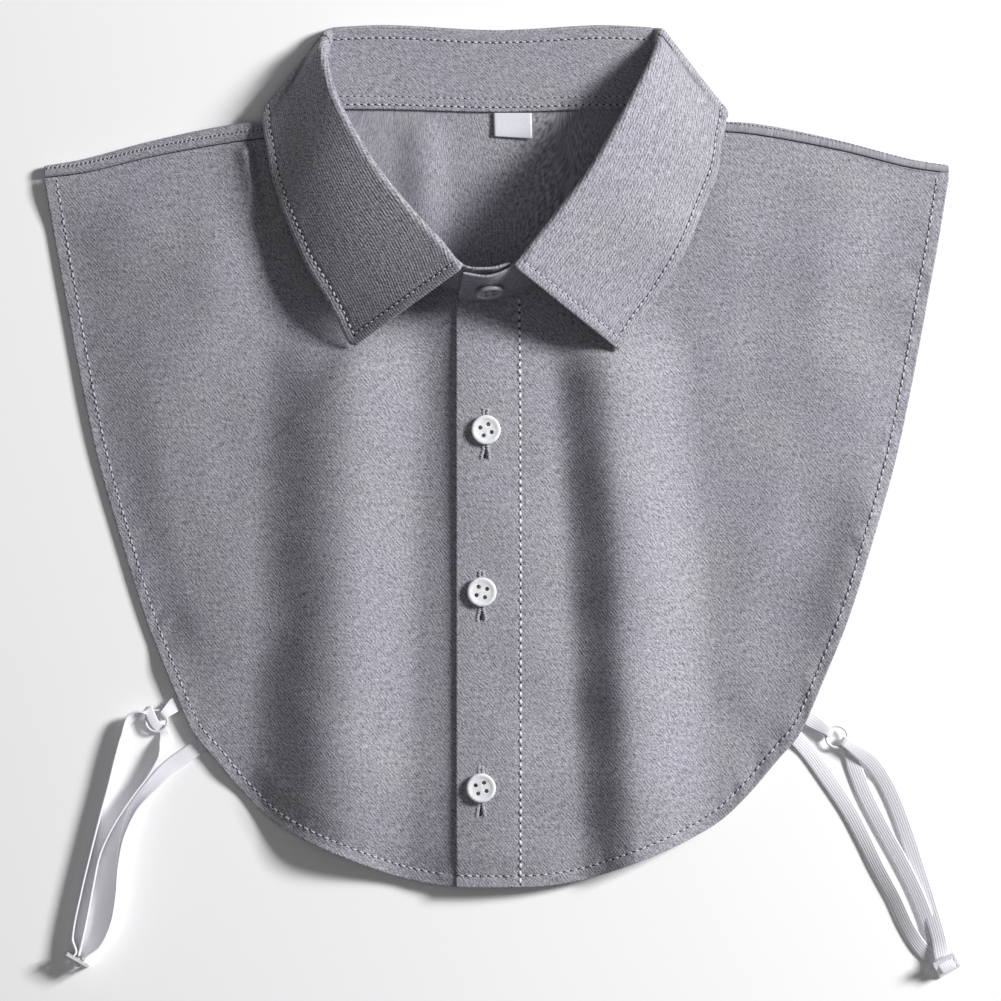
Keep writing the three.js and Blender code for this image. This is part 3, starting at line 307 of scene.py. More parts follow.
# %% Thickness of the cloth
THIN, THIN_PLACKET, THIN_COLLAR = 0.75, 1.1, 1.2
THIN_UNDERLAP = (THIN_PLACKET + THIN) / 2 + 0.10
THIN_ROLL = 1.5
HEM_DROOP, DROOP_WIDTH, DROOP_WIDTH_AT_SIDE, RIGHT_LIFT = 1.8, 16.0, 38.0, 2.4
DENT_COLUMNS = ("name", "across", "up", "turn", "length", "width", "height")
DENTS = [dict(zip(DENT_COLUMNS, row)) for row in (
    ("left shoulder bulge", -0.552, 1.022, -78, 22, 3.6, 2.5),
    ("left shoulder crease", -0.527, 1.000, -80, 24, 2.6, -2.0),
    ("right hem lift", 0.802, 0.448, 71, 36, 13, 5.2),
    ("right shoulder dip", 0.845, 0.885, 60, 26, 12, -1.1),
    ("right neck dip", 0.430, 0.850, 70, 24, 13, -1.2),
    ("left chest swell", -0.700, 0.740, 40, 45, 22, 0.9),
    ("right chest swell", 0.560, 0.700, -50, 50, 20, 0.8),
    ("left hem dip", -0.520, 0.300, 60, 34, 12, -1.0),
    ("left point hollow", -0.375, 0.735, 55, 16, 8, -1.5),
    ("left shoulder swell", -0.640, 0.835, 80, 26, 13, 1.3),
    ("right hem dip", 0.520, 0.230, -55, 30, 10, -0.9))]


def dents(x, y):
    total = 0.0
    for dent in DENTS:
        dx, dy = x - dent["across"] * HALF_WIDTH, y - dent["up"] * SHOULDER_HEIGHT
        turn = math.radians(dent["turn"])
        along = dx * math.cos(turn) + dy * math.sin(turn)
        aside = dy * math.cos(turn) - dx * math.sin(turn)
        shape = np.exp(-(along / dent["length"]) ** 2 - (aside / dent["width"]) ** 2)
        total = total + dent["height"] * shape
    return total


print("dips and swells:", len(DENTS), "deepest, mm:", min(dent["height"] for dent in DENTS))

# %% [markdown]
# ## Cloth never lies perfectly smooth
# Real cloth has a slight unevenness a few centimetres wide, which a low light finds at
# once. A sum of slow waves in many directions makes it, always the same for one seed.

# %% Unevenness
def unevenness(x, y, seed, wave, size):
    rng = np.random.default_rng(seed)
    total = 0
    for _ in range(9):
        turn, pace, phase = rng.uniform(0, np.pi), rng.uniform(0.7, 1.5), rng.uniform(0, 6.3)
        k = 2 * np.pi * pace / wave
        total = total + np.sin(k * (x * np.cos(turn) + y * np.sin(turn)) + phase)
    return size * total / 3


print("unevenness in one place, mm:", round(float(unevenness(0.0, 0.0, 3, 58, 0.55)), 2))

# %% [markdown]
# ## From a grid of points to a sewn sheet
# Every cloth piece starts as rows of points on its middle surface. The sheet gets two
# faces and a rounded rim. Rows crowd together near an edge, because that is where a hem
# has its relief: a proud band, and a groove where the stitches pull the cloth down.

# %% Sheets
RIM = [0, 0.12, 0.35, 0.7, 1.2, 1.9, 2.7, 3.3, 3.8, 4.3, 4.8, 5.4, 6.2, 7.4]


def spacing(length, step, first=True, last=True):
    low = np.array(RIM if first else [0.0])
    high = length - np.array(RIM if last else [0.0])[::-1]
    middle = np.linspace(low[-1], high[0], max(2, int((high[0] - low[-1]) / step)) + 1)
    return np.concatenate([low, middle[1:-1], high]) / length


def grid_lengths(grid):
    rows = np.linalg.norm(np.diff(grid, axis=0), axis=2)
    columns = np.linalg.norm(np.diff(grid, axis=1), axis=2)
    along = np.concatenate([np.zeros((1, grid.shape[1])), np.cumsum(rows, axis=0)], 0)
    across = np.concatenate([np.zeros((grid.shape[0], 1)), np.cumsum(columns, axis=1)], 1)
    return along, across


def grid_normals(grid):
    along = np.gradient(grid, axis=0)
    across = np.gradient(grid, axis=1)
    return unit(np.cross(along, across))


def mesh_piece(name, points, faces, uv=None):
    mesh = bpy.data.meshes.new(name)
    mesh.from_pydata((np.asarray(points) * MM + shift * MM).tolist(), [], faces)
    if uv is not None:
        layer = mesh.uv_layers.new(name="cloth")
        corners = np.empty(len(mesh.loops), int)
        mesh.loops.foreach_get("vertex_index", corners)
        layer.data.foreach_set("uv", (np.asarray(uv)[corners] * MM).ravel())
    mesh.polygons.foreach_set("use_smooth", [True] * len(mesh.polygons))
    mesh.update()
    piece = bpy.data.objects.new(name, mesh)
    bpy.context.scene.collection.objects.link(piece)
    return piece


def sheet_piece(name, grid, thick, relief, uv, round_over=0.55):
    """A closed sheet round a grid; relief lifts its top face, round_over rounds its rim, mm"""
    along, across = grid_lengths(grid)
    near = np.minimum.reduce([along, along[-1] - along, across, across[:, -1:] - across])
    rounding = np.sqrt(np.maximum(1 - (1 - np.clip(near / round_over, 0, 1)) ** 2, 0.05))
    normals = grid_normals(grid)
    half = (thick / 2 * rounding)[..., None]
    top = grid + normals * (half + relief[..., None])
    under = grid - normals * half
    rows, columns = grid.shape[:2]
    index = np.arange(rows * columns).reshape(rows, columns)
    a, b, c, d = index[:-1, :-1], index[1:, :-1], index[1:, 1:], index[:-1, 1:]
    upper = np.stack([a, b, c, d], -1).reshape(-1, 4)
    count = rows * columns
    lower = np.stack([a, d, c, b], -1).reshape(-1, 4) + count
    ring = np.concatenate([index[:-1, 0], index[-1, :-1], index[:0:-1, -1], index[0, :0:-1]])
    after = np.roll(ring, -1)
    rim = np.stack([ring, ring + count, after + count, after], -1)
    faces = np.concatenate([upper, lower, rim]).tolist()
    points = np.concatenate([top.reshape(-1, 3), under.reshape(-1, 3)])
    piece = mesh_piece(name, points, faces, np.concatenate([uv.reshape(-1, 2)] * 2))
    quad = np.linalg.norm(np.cross(top[1:, 1:] - top[:-1, :-1], top[1:, :-1] - top[:-1, 1:]), axis=2)
    area = quad.sum() / 2
    print(f"{name}: {len(faces)} faces, {area / 100:.0f} square cm")
    return piece, top, normals, area


# %% [markdown]
# ## Lines of stitches
# A seam is seen by its thread: short pale stitches that sit in a groove. At each end of a stitch,
# where the needle went through, the shade in the hole is painted as a nearly black mark. One
# small bead is copied along a line, turned to the line and to the cloth under it, and the
# whole row becomes one mesh.

# %% Stitch rows
BEAD_RINGS = np.array([-0.82, -0.4, 0.0, 0.4, 0.82])
BEAD_SIDES = 6


def bead_template():
    points = [(-1.0, 0.0, 0.0)]
    for place in BEAD_RINGS:
        radius = math.sqrt(1 - place * place) ** 0.7
        for k in range(BEAD_SIDES):
            angle = 2 * math.pi * k / BEAD_SIDES
            points.append((place, radius * math.cos(angle), radius * math.sin(angle)))
    points.append((1.0, 0.0, 0.0))
    faces, last = [], len(points) - 1
    for k in range(BEAD_SIDES):
        n = (k + 1) % BEAD_SIDES
        faces.append([0, 1 + n, 1 + k])
        faces.append([last, last - BEAD_SIDES + k, last - BEAD_SIDES + n])
        for ring in range(len(BEAD_RINGS) - 1):
            low, high = 1 + ring * BEAD_SIDES, 1 + (ring + 1) * BEAD_SIDES
            faces.append([low + k, low + n, high + n, high + k])
    return np.array(points), faces


bead_points, bead_faces = bead_template()


def beads(name, centres, ahead, normals, size):
    """Joined beads; size: half length, half width and half height of each, one row per bead"""
    ahead = unit(ahead)
    side = unit(np.cross(normals, ahead))
    up = np.cross(ahead, side)
    size = np.broadcast_to(size, (len(centres), 3))
    local = bead_points[None] * size[:, None, :]
    points = (centres[:, None] + local[..., :1] * ahead[:, None] + local[..., 1:2] * side[:, None]
              + local[..., 2:] * up[:, None])
    faces = [[i * len(bead_points) + v for v in face]
             for i in range(len(centres)) for face in bead_faces]
    return mesh_piece(name, points.reshape(-1, 3), faces)


print("one stitch:", len(bead_faces), "faces")

# %% [markdown]
# A row needs a line on the cloth. One helper cuts a line into equal steps, one finds the
# line at a distance from a sheet's edge, and the last one sews: a stitch at each step, and
# between two stitches a flat dark mark, the painted shade of the needle's hole.

# %% Rows of stitches
def walk(points, normals, pitch, trim=(0, 0), start=0.5):
    steps = np.linalg.norm(np.diff(points, axis=0), axis=1)
    run = np.concatenate([[0], np.cumsum(steps)])
    count = max(1, int(round((run[-1] - trim[0] - trim[1]) / pitch)))
    places = trim[0] + (np.arange(count) + start) * (run[-1] - trim[0] - trim[1]) / count
    at = lambda s: np.stack([np.interp(s, run, points[:, k]) for k in range(3)], 1)
    up = unit(np.stack([np.interp(places, run, normals[:, k]) for k in range(3)], 1))
    return at(places), at(places + 0.4) - at(places - 0.4), up


def inside_line(top, normals, border, distance):
    """The line on a sheet at a distance from one border: first or last row or column"""
    if border in ("first column", "last column"):
        top, normals = top.swapaxes(0, 1), normals.swapaxes(0, 1)
    if border.startswith("last"):
        top, normals = top[::-1], normals[::-1]
    steps = np.linalg.norm(np.diff(top, axis=0), axis=2)
    run = np.concatenate([np.zeros((1, top.shape[1])), np.cumsum(steps, axis=0)], 0)
    points = np.empty((top.shape[1], 3))
    ups = np.empty_like(points)
    for j in range(top.shape[1]):
        for k in range(3):
            points[j, k] = np.interp(distance, run[:, j], top[:, j, k])
            ups[j, k] = np.interp(distance, run[:, j], normals[:, j, k])
    return points, unit(ups)


stitch_rows = {}


def sew(name, cloth, points, normals, pitch=3.1, trim=(0, 0), thick=0.40, share=0.31, slant=0.0,
        yarn="thread", seed=1):
    """One row of stitches, with dark marks of painted shade for the needle's holes between them"""
    rng = np.random.default_rng(seed)
    centres, ahead, up = walk(points, normals, pitch, trim)
    count = len(centres)
    size = np.array([share * pitch, thick, thick * 0.8]) * rng.uniform(0.85, 1.15, (count, 1))
    ahead = unit(ahead)
    ahead = ahead + np.cross(up, ahead) * slant + rng.normal(0, 0.10, (count, 3))
    thread = beads(f"{name}_thread", centres + up * thick * 0.40, ahead, up, size)
    centres, ahead, up = walk(points, normals, pitch, trim, start=0.0)
    # the holes are thin near-black beads: painted shade where the thread dives into the cloth
    holes = beads(f"{name}_holes", centres, ahead, up, np.array([0.46, thick, 0.14]))
    for piece, finish in ((thread, yarn), (holes, "painted hole shade")):
        stitch_rows.setdefault(cloth, []).append(piece)
        piece["finish"] = finish
    print(f"{name}: {count} stitches")


# %% [markdown]
# ## Shader maths in plain Python
# A shader is a graph of small sums. This class wraps one socket, so a sum can be written
# as an expression, and adds a Math node for each operator. Colours go through Mix nodes,
# and every other node comes from one method: its type, its settings, then its sockets.

# %% One socket
def math_node(operation, swapped=False):
    """A method that adds one Math node; swapped is for a number that stands before a wire"""
    def apply(self, other):
        first, second = (other, self) if swapped else (self, other)
        return self.shader.node("ShaderNodeMath", {"operation": operation},
                                {0: first, 1: second})
    return apply


class Wire:
    def __init__(self, shader, socket):
        self.shader, self.socket = shader, socket

    __add__, __radd__ = math_node("ADD"), math_node("ADD", swapped=True)
    __sub__, __rsub__ = math_node("SUBTRACT"), math_node("SUBTRACT", swapped=True)
    __mul__, __rmul__ = math_node("MULTIPLY"), math_node("MULTIPLY", swapped=True)

    def sin(self):
        return self.shader.node("ShaderNodeMath", {"operation": "SINE"}, {0: self})

    def between(self, low, high):
        settings = {"interpolation_type": "SMOOTHSTEP"}
        return self.shader.node("ShaderNodeMapRange", settings,
                                {"Value": self, "From Min": low, "From Max": high})


# %% [markdown]
# The second class is the material itself. It sets a socket to a value or a link, adds any
# node, and has short names for the nodes that come back in every finish.

# %% Material helper
class Shader:
    def __init__(self, name):
        self.material = bpy.data.materials.new(name)
        self.material.use_nodes = True
        self.tree = self.material.node_tree
        self.skin = self.tree.nodes["Principled BSDF"]

    def put(self, socket, value):
        if isinstance(value, Wire):
            self.tree.links.new(value.socket, socket)
        else:
            socket.default_value = value

    def node(self, kind, settings=None, values=None, output=0):
        node = self.tree.nodes.new(kind)
        for key, value in (settings or {}).items():
            setattr(node, key, value)
        for key, value in (values or {}).items():
            self.put(node.inputs[key], value)
        return Wire(self, node.outputs[output])

    def mix(self, share, low, high):
        return self.node("ShaderNodeMix", {"data_type": "RGBA"},
                         {0: share, 6: low, 7: high}, output=2)

    def scaled(self, vector, factors):
        return self.node("ShaderNodeVectorMath", {"operation": "MULTIPLY"},
                         {0: vector, 1: factors})

    def cloth_place(self):
        """The place on the flat pattern, in mm: as a vector, along and across"""
        place = self.node("ShaderNodeUVMap", {"uv_map": "cloth"})
        mm = self.scaled(place, (1000.0, 1000.0, 1000.0))
        parts = self.tree.nodes.new("ShaderNodeSeparateXYZ")
        self.put(parts.inputs[0], mm)
        return mm, Wire(self, parts.outputs[0]), Wire(self, parts.outputs[1])

    def noise(self, vector, size, detail=2.0, rough=0.5):
        return self.node("ShaderNodeTexNoise", {"noise_dimensions": "3D"},
                         {"Vector": vector, "Scale": 1.0 / size, "Detail": detail,
                          "Roughness": rough})

    def bump(self, height, distance):
        return self.node("ShaderNodeBump", {}, {"Height": height, "Distance": distance,
                                                "Strength": 1.0})

    def finish(self, **sockets):
        for name, value in sockets.items():
            self.put(self.skin.inputs[name.replace("_", " ")], value)
        return self.material


def colour(red, green, blue):
    """A paint colour given as it looks on screen, 0 to 255, turned into light values"""
    return tuple((v / 255 / 12.92 if v <= 10 else ((v / 255 + 0.055) / 1.055) ** 2.4)
                 for v in (red, green, blue)) + (1.0,)


print("middle grey as light:", [round(v, 3) for v in colour(128, 128, 128)])

# %% [markdown]
# ## The shirt cloth
# It is a fine twill with dark and pale grey yarns, so it looks speckled, with a faint
# diagonal and a lilac cast that comes and goes. The places on the cloth come from its own
# flat pattern in millimetres, so the weave follows every fold. The collar's leaf is cut
# another way and shows its ribs along the outer edge.

# %% Shirt cloth
def cloth_finish(name, dark, pale, rib=0.0, twill=0.20):
    s = Shader(name)
    mm, u, v = s.cloth_place()
    wander = s.noise(mm, 5.0, 1.0) - 0.5
    along, aside = u * 0.62 - v * 0.78, u * 0.78 + v * 0.62
    slanted = s.node("ShaderNodeCombineXYZ", {}, {0: along * 0.42, 1: aside * 1.5})
    speck = s.noise(mm, 0.62, 3.0, 0.62)
    fleck = s.noise(slanted, 0.95, 2.0)
    slub = s.noise(s.scaled(mm, (0.12, 1.2, 1.0)), 1.2, 1.0)
    patches = s.noise(mm, 9.0, 2.0).between(0.35, 0.65)
    diagonal = ((aside + wander * 1.3) * (2 * math.pi / 1.05)).sin()
    tone = 0.5 + (speck - 0.5) * 2.1 + (fleck - 0.5) * 1.6 + (slub - 0.5) * 0.35
    tone = tone + diagonal * twill * (0.25 + 0.75 * patches) * speck
    height = speck * 0.60 + diagonal * 0.08 + fleck * 0.45
    if rib:
        ridge = ((v + wander * 0.35) * (2 * math.pi / 1.22)).sin()
        broken = s.noise(s.scaled(mm, (0.22, 1.0, 1.0)), 0.8, 1.0).between(0.3, 0.62)
        tone = tone + ridge * broken * rib
        height = height + ridge * broken * 0.35
    cast = s.noise(mm, 34.0, 1.0).between(0.2, 0.8)
    low = s.mix(cast, dark[0], dark[1])
    high = s.mix(cast, pale[0], pale[1])
    skin = s.mix(tone, low, high)
    return s.finish(Base_Color=skin, Roughness=0.88, Sheen_Weight=0.12, Sheen_Roughness=0.4,
                    Specular_IOR_Level=0.25, Normal=s.bump(height, 0.00022))


DARK_YARN = (colour(97, 96, 100), colour(95, 93, 102))
PALE_YARN = (colour(190, 189, 196), colour(188, 186, 198))
finishes = {
    "cloth": cloth_finish("shirt_twill", DARK_YARN, PALE_YARN),
    "leaf cloth": cloth_finish("collar_twill", DARK_YARN, PALE_YARN, rib=0.24, twill=0.08),
}
print("cloth finishes:", list(finishes))

# %% [markdown]
# ## Thread, buttons and rings
# Thread is dull, the shade in needles' holes and buttonhole slits is painted nearly black, and
# the buttons, rings and sliders are moulded plastic with a clear shine. They differ only in
# colour, roughness and shine, so one function makes them all, with a fine grain so that none
# looks like plain paint.

# %% Plain finishes
def plain_finish(name, tint, rough, grain, depth, **more):
    s = Shader(name)
    place = s.node("ShaderNodeTexCoord", {}, {}, output=3)
    grit = s.noise(place, grain, 3.0)
    skin = s.mix(grit.between(0.3, 0.7), tuple(0.86 * c for c in tint[:3]) + (1.0,), tint)
    return s.finish(Base_Color=skin, Roughness=rough, Normal=s.bump(grit, depth), **more)


finishes["thread"] = plain_finish("sewing_thread", colour(196, 195, 203), 0.6, 0.0003, 0.0001)
finishes["pale thread"] = plain_finish("pale_thread", colour(228, 227, 233), 0.6, 0.0003, 0.0001)
# painted shade: near black, for the shade inside the needle's holes and the buttonhole slits
finishes["painted hole shade"] = plain_finish("painted_hole_shade", colour(38, 38, 42), 0.95, 0.0003, 0.0001)
finishes["button"] = plain_finish("shirt_button", colour(238, 239, 242), 0.28, 0.0016, 0.00002,
                                  Coat_Weight=0.4, Coat_Roughness=0.12,
                                  Subsurface_Weight=0.1, Subsurface_Scale=0.002)
# the collar button's darker grey is painted shade on a white button
finishes["shade-darkened button"] = plain_finish("collar_button", colour(150, 150, 156), 0.35, 0.0016,
                                       0.00002, Coat_Weight=0.2, Coat_Roughness=0.2)
finishes["plastic"] = plain_finish("moulded_plastic", colour(232, 232, 236), 0.25, 0.0010,
                                   0.00002, Coat_Weight=0.3, Coat_Roughness=0.1)
print("plain finishes:", list(finishes)[2:])

# %% [markdown]
# ## Elastic and label satin
# Both are woven bands. The elastic has ribs along its length and a fine cross weave; the
# satin has close shiny yarns across the loop. Their places come from the flat band, so the
# ribs follow every turn of the strap.

# %% Elastic and satin
def elastic_finish():
    """Woven elastic: ribs along the band and a fine cross weave"""
    s = Shader("woven_elastic")
    mm, u, v = s.cloth_place()
    ribs = (v * (2 * math.pi / 0.95)).sin()
    cross = (u * (2 * math.pi / 0.7)).sin()
    grit = s.noise(mm, 0.5, 2.0)
    shade = 0.6 + ribs * 0.10 + cross * 0.05 + (grit - 0.5) * 0.5
    skin = s.mix(shade, colour(224, 223, 231), colour(246, 245, 250))
    return s.finish(Base_Color=skin, Roughness=0.7, Sheen_Weight=0.1,
                    Normal=s.bump(ribs * 0.3 + cross * 0.2 + grit * 0.4, 0.00010))


def satin_finish():
    """Label satin: close shiny yarns across the loop"""
    s = Shader("label_satin")
    mm, _, _ = s.cloth_place()
    grit = s.noise(s.scaled(mm, (0.4, 2.0, 1.0)), 0.5, 2.0)
    skin = s.mix(grit, colour(202, 203, 212), colour(236, 236, 242))
    return s.finish(Base_Color=skin, Roughness=0.42, Sheen_Weight=0.1,
                    Normal=s.bump(grit, 0.00010))


finishes["elastic"] = elastic_finish()
finishes["label"] = satin_finish()
print("finishes:", len(finishes))

# %% [markdown]
# Every piece gets its finish and moves with the one body.

# %% Wear a finish
def wear(piece, finish):
    piece.data.materials.clear()
    piece.data.materials.append(finishes[finish])
    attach(piece, "root")
    return piece


# %% [markdown]
# ## Where the collar sits
# The collar is one strip round the neck. At each station along it, the neck seam has a
# place, the stand rises from the seam to the fold, and the leaf falls outward from the
# fold. At the back both lie flat, with the leaf folded away under the back.

# %% Collar stations
COLLAR_COLUMNS = ("name", "across", "up", "turn", "tilt", "tall", "fall", "drop", "wide")
COLLAR = [dict(zip(COLLAR_COLUMNS, row)) for row in (
    ("under end", 0.10, 0.035, 97, 71, 0.94),
    ("under button", -0.05, 0.020, 85, 72, 0.95),
    ("left point", -0.29, 0.03, 58, 69, 0.97, -145, 26, 1.24),
    ("left front", -0.48, 0.12, 44, 65, 1.00, -146, 24, 1.14),
    ("left fall", -0.67, 0.23, 36, 63, 1.01, -144, 23, 1.05),
    ("left side", -0.93, 0.39, 33, 58, 1.01, -131, 22, 1.00),
    ("left neck", -1.14, 0.53, 37, 49, 1.00, -125, 20, 0.95),
    ("left shoulder", -1.21, 0.59, 54, 34, 0.95, -120, 15, 0.94),
    ("left turn", -1.18, 0.66, 74, 8, 0.98, -120, 1, 0.93),
    ("left over crease", -1.15, 0.69, 77, 5, 1.02, -127, -2, 0.86),
    ("left crease", -1.13, 0.70, 79, 3, 1.04, -128, 0, 0.86),
    ("left under crease", -1.10, 0.706, 80, None, 1.07, -125, None, 0.97),
    ("left corner", -1.08, 0.71, 80, None, 1.07, -114, None, 0.99),
    ("left back", -0.66, 0.71, 90, None, 1.08, -99, None, 1.00),
    ("back", 0.00, 0.70, 90, None, 1.05, -90, None, 0.99),
    ("right back", 0.64, 0.71, 90, None, 1.08, -79, None, 1.00),
    ("right corner", 1.06, 0.71, 103, None, 1.08, -64, None, 1.02),
    ("right under crease", 1.08, 0.706, 103, None, 1.08, -53, None, 1.00),
    ("right crease", 1.11, 0.70, 103, 3, 1.08, -52, 0, 0.92),
    ("right over crease", 1.14, 0.69, 108, 5, 1.06, -52, -2, 0.92),
    ("right turn", 1.17, 0.66, 113, 7, 1.05, -56, 1, 0.96),
    ("right shoulder", 1.12, 0.60, 131, 32, 0.99, -49, 13, 0.99),
    ("right neck", 1.01, 0.53, 148, 47, 1.03, -45, 20, 1.04),
    ("right side", 0.79, 0.39, 150, 57, 1.02, -40, 21, 1.09),
    ("right fall", 0.55, 0.24, 144, 63, 1.01, -40, 24, 1.16),
    ("right front", 0.37, 0.12, 136, 65, 1.00, -38, 25, 1.18),
    ("right point", 0.19, 0.03, 122, 69, 0.97, -38, 25, 1.21),
    ("over button", -0.05, -0.010, 87, 71, 0.91),
    ("over end", -0.24, -0.002, 75, 70, 0.92))]
CLEAR = CLOTH / 2 + GAP + LEAF_CLOTH / 2
OVER_SHOULDER = (0.055, 0.085)


def compass(turn, rise=0.0):
    turn, rise = math.radians(turn), math.radians(rise)
    return np.array([math.cos(turn) * math.cos(rise), math.sin(turn) * math.cos(rise),
                     math.sin(rise)])


print("stations:", len(COLLAR))

# %% [markdown]
# Each row of the table becomes three things: the place of the neck seam on whatever lies
# below it, the place of the fold above it, and the way that the leaf falls from there.

# %% Seam and fold
station_names = [row["name"] for row in COLLAR]
for row in COLLAR:
    tilt = row["tilt"] or 0
    x, y = row["across"] * NECK_HALF_WIDTH, FRONT_LENGTH + row["up"] * NECK_DEPTH
    on_back = row["tilt"] is None or row["tilt"] <= 5
    is_under = row["name"].startswith(("under", "left"))
    rest = back_height(x, y) if on_back else (under_height if is_under else front_height)(x, y)
    z = float(rest) + CLOTH / 2 + GAP + STAND_CLOTH / 2 * math.cos(math.radians(tilt))
    row["seam"] = np.array([x, y, z])
for side in ("left", "right"):
    turned = COLLAR[station_names.index(f"{side} turn")]
    turned["seam"][2] = COLLAR[station_names.index(f"{side} shoulder")]["seam"][2]
for row in COLLAR:
    row["fold"] = row["seam"] + compass(row["turn"], row["tilt"] or 0) * row["tall"] * STAND_HEIGHT
    if row["tilt"] is None:
        row["fold"][2] = LEAF_CLOTH / 2 + 2 * BACK_ROLL
    if "fall" in row:
        row["leaf"] = compass(row["fall"], -(row["drop"] or 0))

seams = np.array([row["seam"] for row in COLLAR])
folds = np.array([row["fold"] for row in COLLAR])
_, station_at, fold_length = line_through(folds)
leafy = [i for i, row in enumerate(COLLAR) if "leaf" in row]
leaf_at = station_at[leafy]
leaf_ways = np.array([COLLAR[i]["leaf"] for i in leafy])
leaf_wide = np.array([COLLAR[i]["wide"] for i in leafy]) * LEAF_WIDTH
print("fold line, mm:", round(fold_length))


def rise_at(t):
    return through(station_at, folds, t) - through(station_at, seams, t)


def outward_at(t):
    along = (through(station_at, folds, np.minimum(t + 0.004, 1))
             - through(station_at, folds, np.maximum(t - 0.004, 0)))
    return unit(np.cross(rise_at(t), along))


# %% [markdown]
# ## The two fronts
# Each front is one patch between its hem, its shoulder seam, the neck seam and its inner
# edge. The wearer's left front ends in the placket, a doubled strip with its fold at the
# outside, and lies over the right front. Puckers along the hem come from its stitches.

# %% Edges of a front
def patch(hem, neck, inner, outer, s, t):
    s3, t3 = s[:, None, None], t[None, :, None]
    up = hem[:, None] * (1 - t3) + neck[:, None] * t3
    over = inner[None] * (1 - s3) + outer[None] * s3
    low = hem[0] * (1 - s3) + hem[-1] * s3
    high = neck[0] * (1 - s3) + neck[-1] * s3
    return up + over - (low * (1 - t3) + high * t3)


def hem_place(x):
    marks = np.linspace(0, 0.5, 4001)
    return float(np.interp(abs(x), hem_line(marks)[:, 0], marks)) * (-1 if x < 0 else 1)


def hem_at(q):
    points = hem_line(np.abs(q))
    return np.stack([points[:, 0] * np.where(q < 0, -1, 1), points[:, 1]], 1)


def shoulder_points(side, key, across):
    sign = -1 if side == "left" else 1
    return np.stack([sign * across * HALF_WIDTH, shoulder_line(side, key, across)], 1)


def puckers(run, near, seed, size, wave=9.0):
    rng = np.random.default_rng(seed)
    places = np.linspace(0, run.max(), int(run.max() / wave * 2) + 2)
    heights = rng.normal(0, 1, len(places))
    return size * through(places, heights, run) * near


print("placket meets the hem at share", round(hem_place(-PLACKET_LEFT), 4))

# %% [markdown]
# The patch is laid over the height of the folds, and then made uneven: slow waves, the
# dips and swells of the table, and puckers. At its edge it droops where nothing holds it
# up, and the hem's stitches pull a groove with a proud band outside it.

# %% Fronts
HEM_STITCH = 4.9
PLACKET_STITCH = PLACKET_WIDTH - 0.4
# wave length and height in mm, and the seed for each side
WAVES = [(58, 0.55, {"left": 3, "right": 4}), (24, 0.10, {"left": 5, "right": 6})]
PUCKER_HEIGHT, PUCKER_SEED = 0.24, {"left": 7, "right": 8}
HEM_GROOVE, HEM_BAND, SEAM_DIP, PLACKET_GROOVE = 0.26, 0.16, 0.14, 0.30


def front_pattern(side, inner_x, names):
    """The flat front as rows of places from its inner edge to the shoulder"""
    end = -1.0 if side == "left" else 1.0
    start = hem_place(inner_x)
    neck_points = [COLLAR[station_names.index(n)]["seam"][:2].copy() for n in names]
    neck_points[0][0] = inner_x
    neck_points.append(shoulder_points(side, "seam", np.array([NECK_ACROSS]))[0])
    neck_line, _, _ = line_through(neck_points)
    s = spacing(hem_length, 1.5)
    t = spacing(230.0, 1.9)
    hem = hem_at(start + (end - start) * s)
    hem[-1] = shoulder_points(side, "seam", np.array([1.0]))[0]
    inner = hem[0] + (neck_line(0.0) - hem[0]) * t[:, None]
    outer = shoulder_points(side, "seam", 1 + (NECK_ACROSS - 1) * t)
    return patch(hem, neck_line(s), inner, outer, s, t)


def lay_down(grid, side, along, across):
    """What the table and the stitches do to the height of a front"""
    x, y = grid[..., 0], grid[..., 1]
    calm = ease(across, 0, 30) * ease(np.abs(x + PLACKET_LEFT), 2, 30)
    calm = calm * ease(distance_to(np.abs(x), y, seam_marks[side]), 2, 25)
    for wave, size, seeds in WAVES:
        grid[..., 2] += unevenness(x, y, seeds[side], wave, size) * calm
    grid[..., 2] += dents(x, y) * ease(distance_to(np.abs(x), y, seam_marks[side]), 0, 5)
    run = np.broadcast_to(along[:, :1], along.shape)
    bumpy = np.exp(-((across - HEM_STITCH) / 5.0) ** 2) * ease(across, 0, 3)
    grid[..., 2] += puckers(run, bumpy, PUCKER_SEED[side], PUCKER_HEIGHT)

    # the edge droops to the table, but not over a tab or a strap, and not at the far right
    free = ease(distance_to(np.abs(x), y, seam_marks[side]), 4, 22)
    for strap in STRAPS:
        if strap["side"] == side:
            for out, down in (strap["tab"], (0, 0)):
                at = np.array(strap["hem"]) * (HALF_WIDTH, SHOULDER_HEIGHT)
                at = at + (strap["sign"] * out * STRAP_REACH, -down * STRAP_REACH)
                free = free * ease(np.hypot(x - at[0], y - at[1]), 12, 26)
    wide = DROOP_WIDTH + (DROOP_WIDTH_AT_SIDE - DROOP_WIDTH) * ease(np.abs(x), 100, 150)
    free = free * (1 - ease(x, 60, 120))
    grid[..., 2] -= HEM_DROOP * free * (1 - ease(across / wide, 0, 1))
    lifted = ease(distance_to(np.abs(x), y, seam_marks[side]), 0, 30) * ease(x, 60, 130)
    grid[..., 2] += RIGHT_LIFT * lifted * (1 - ease(across, 0, HEM_SLOPE))


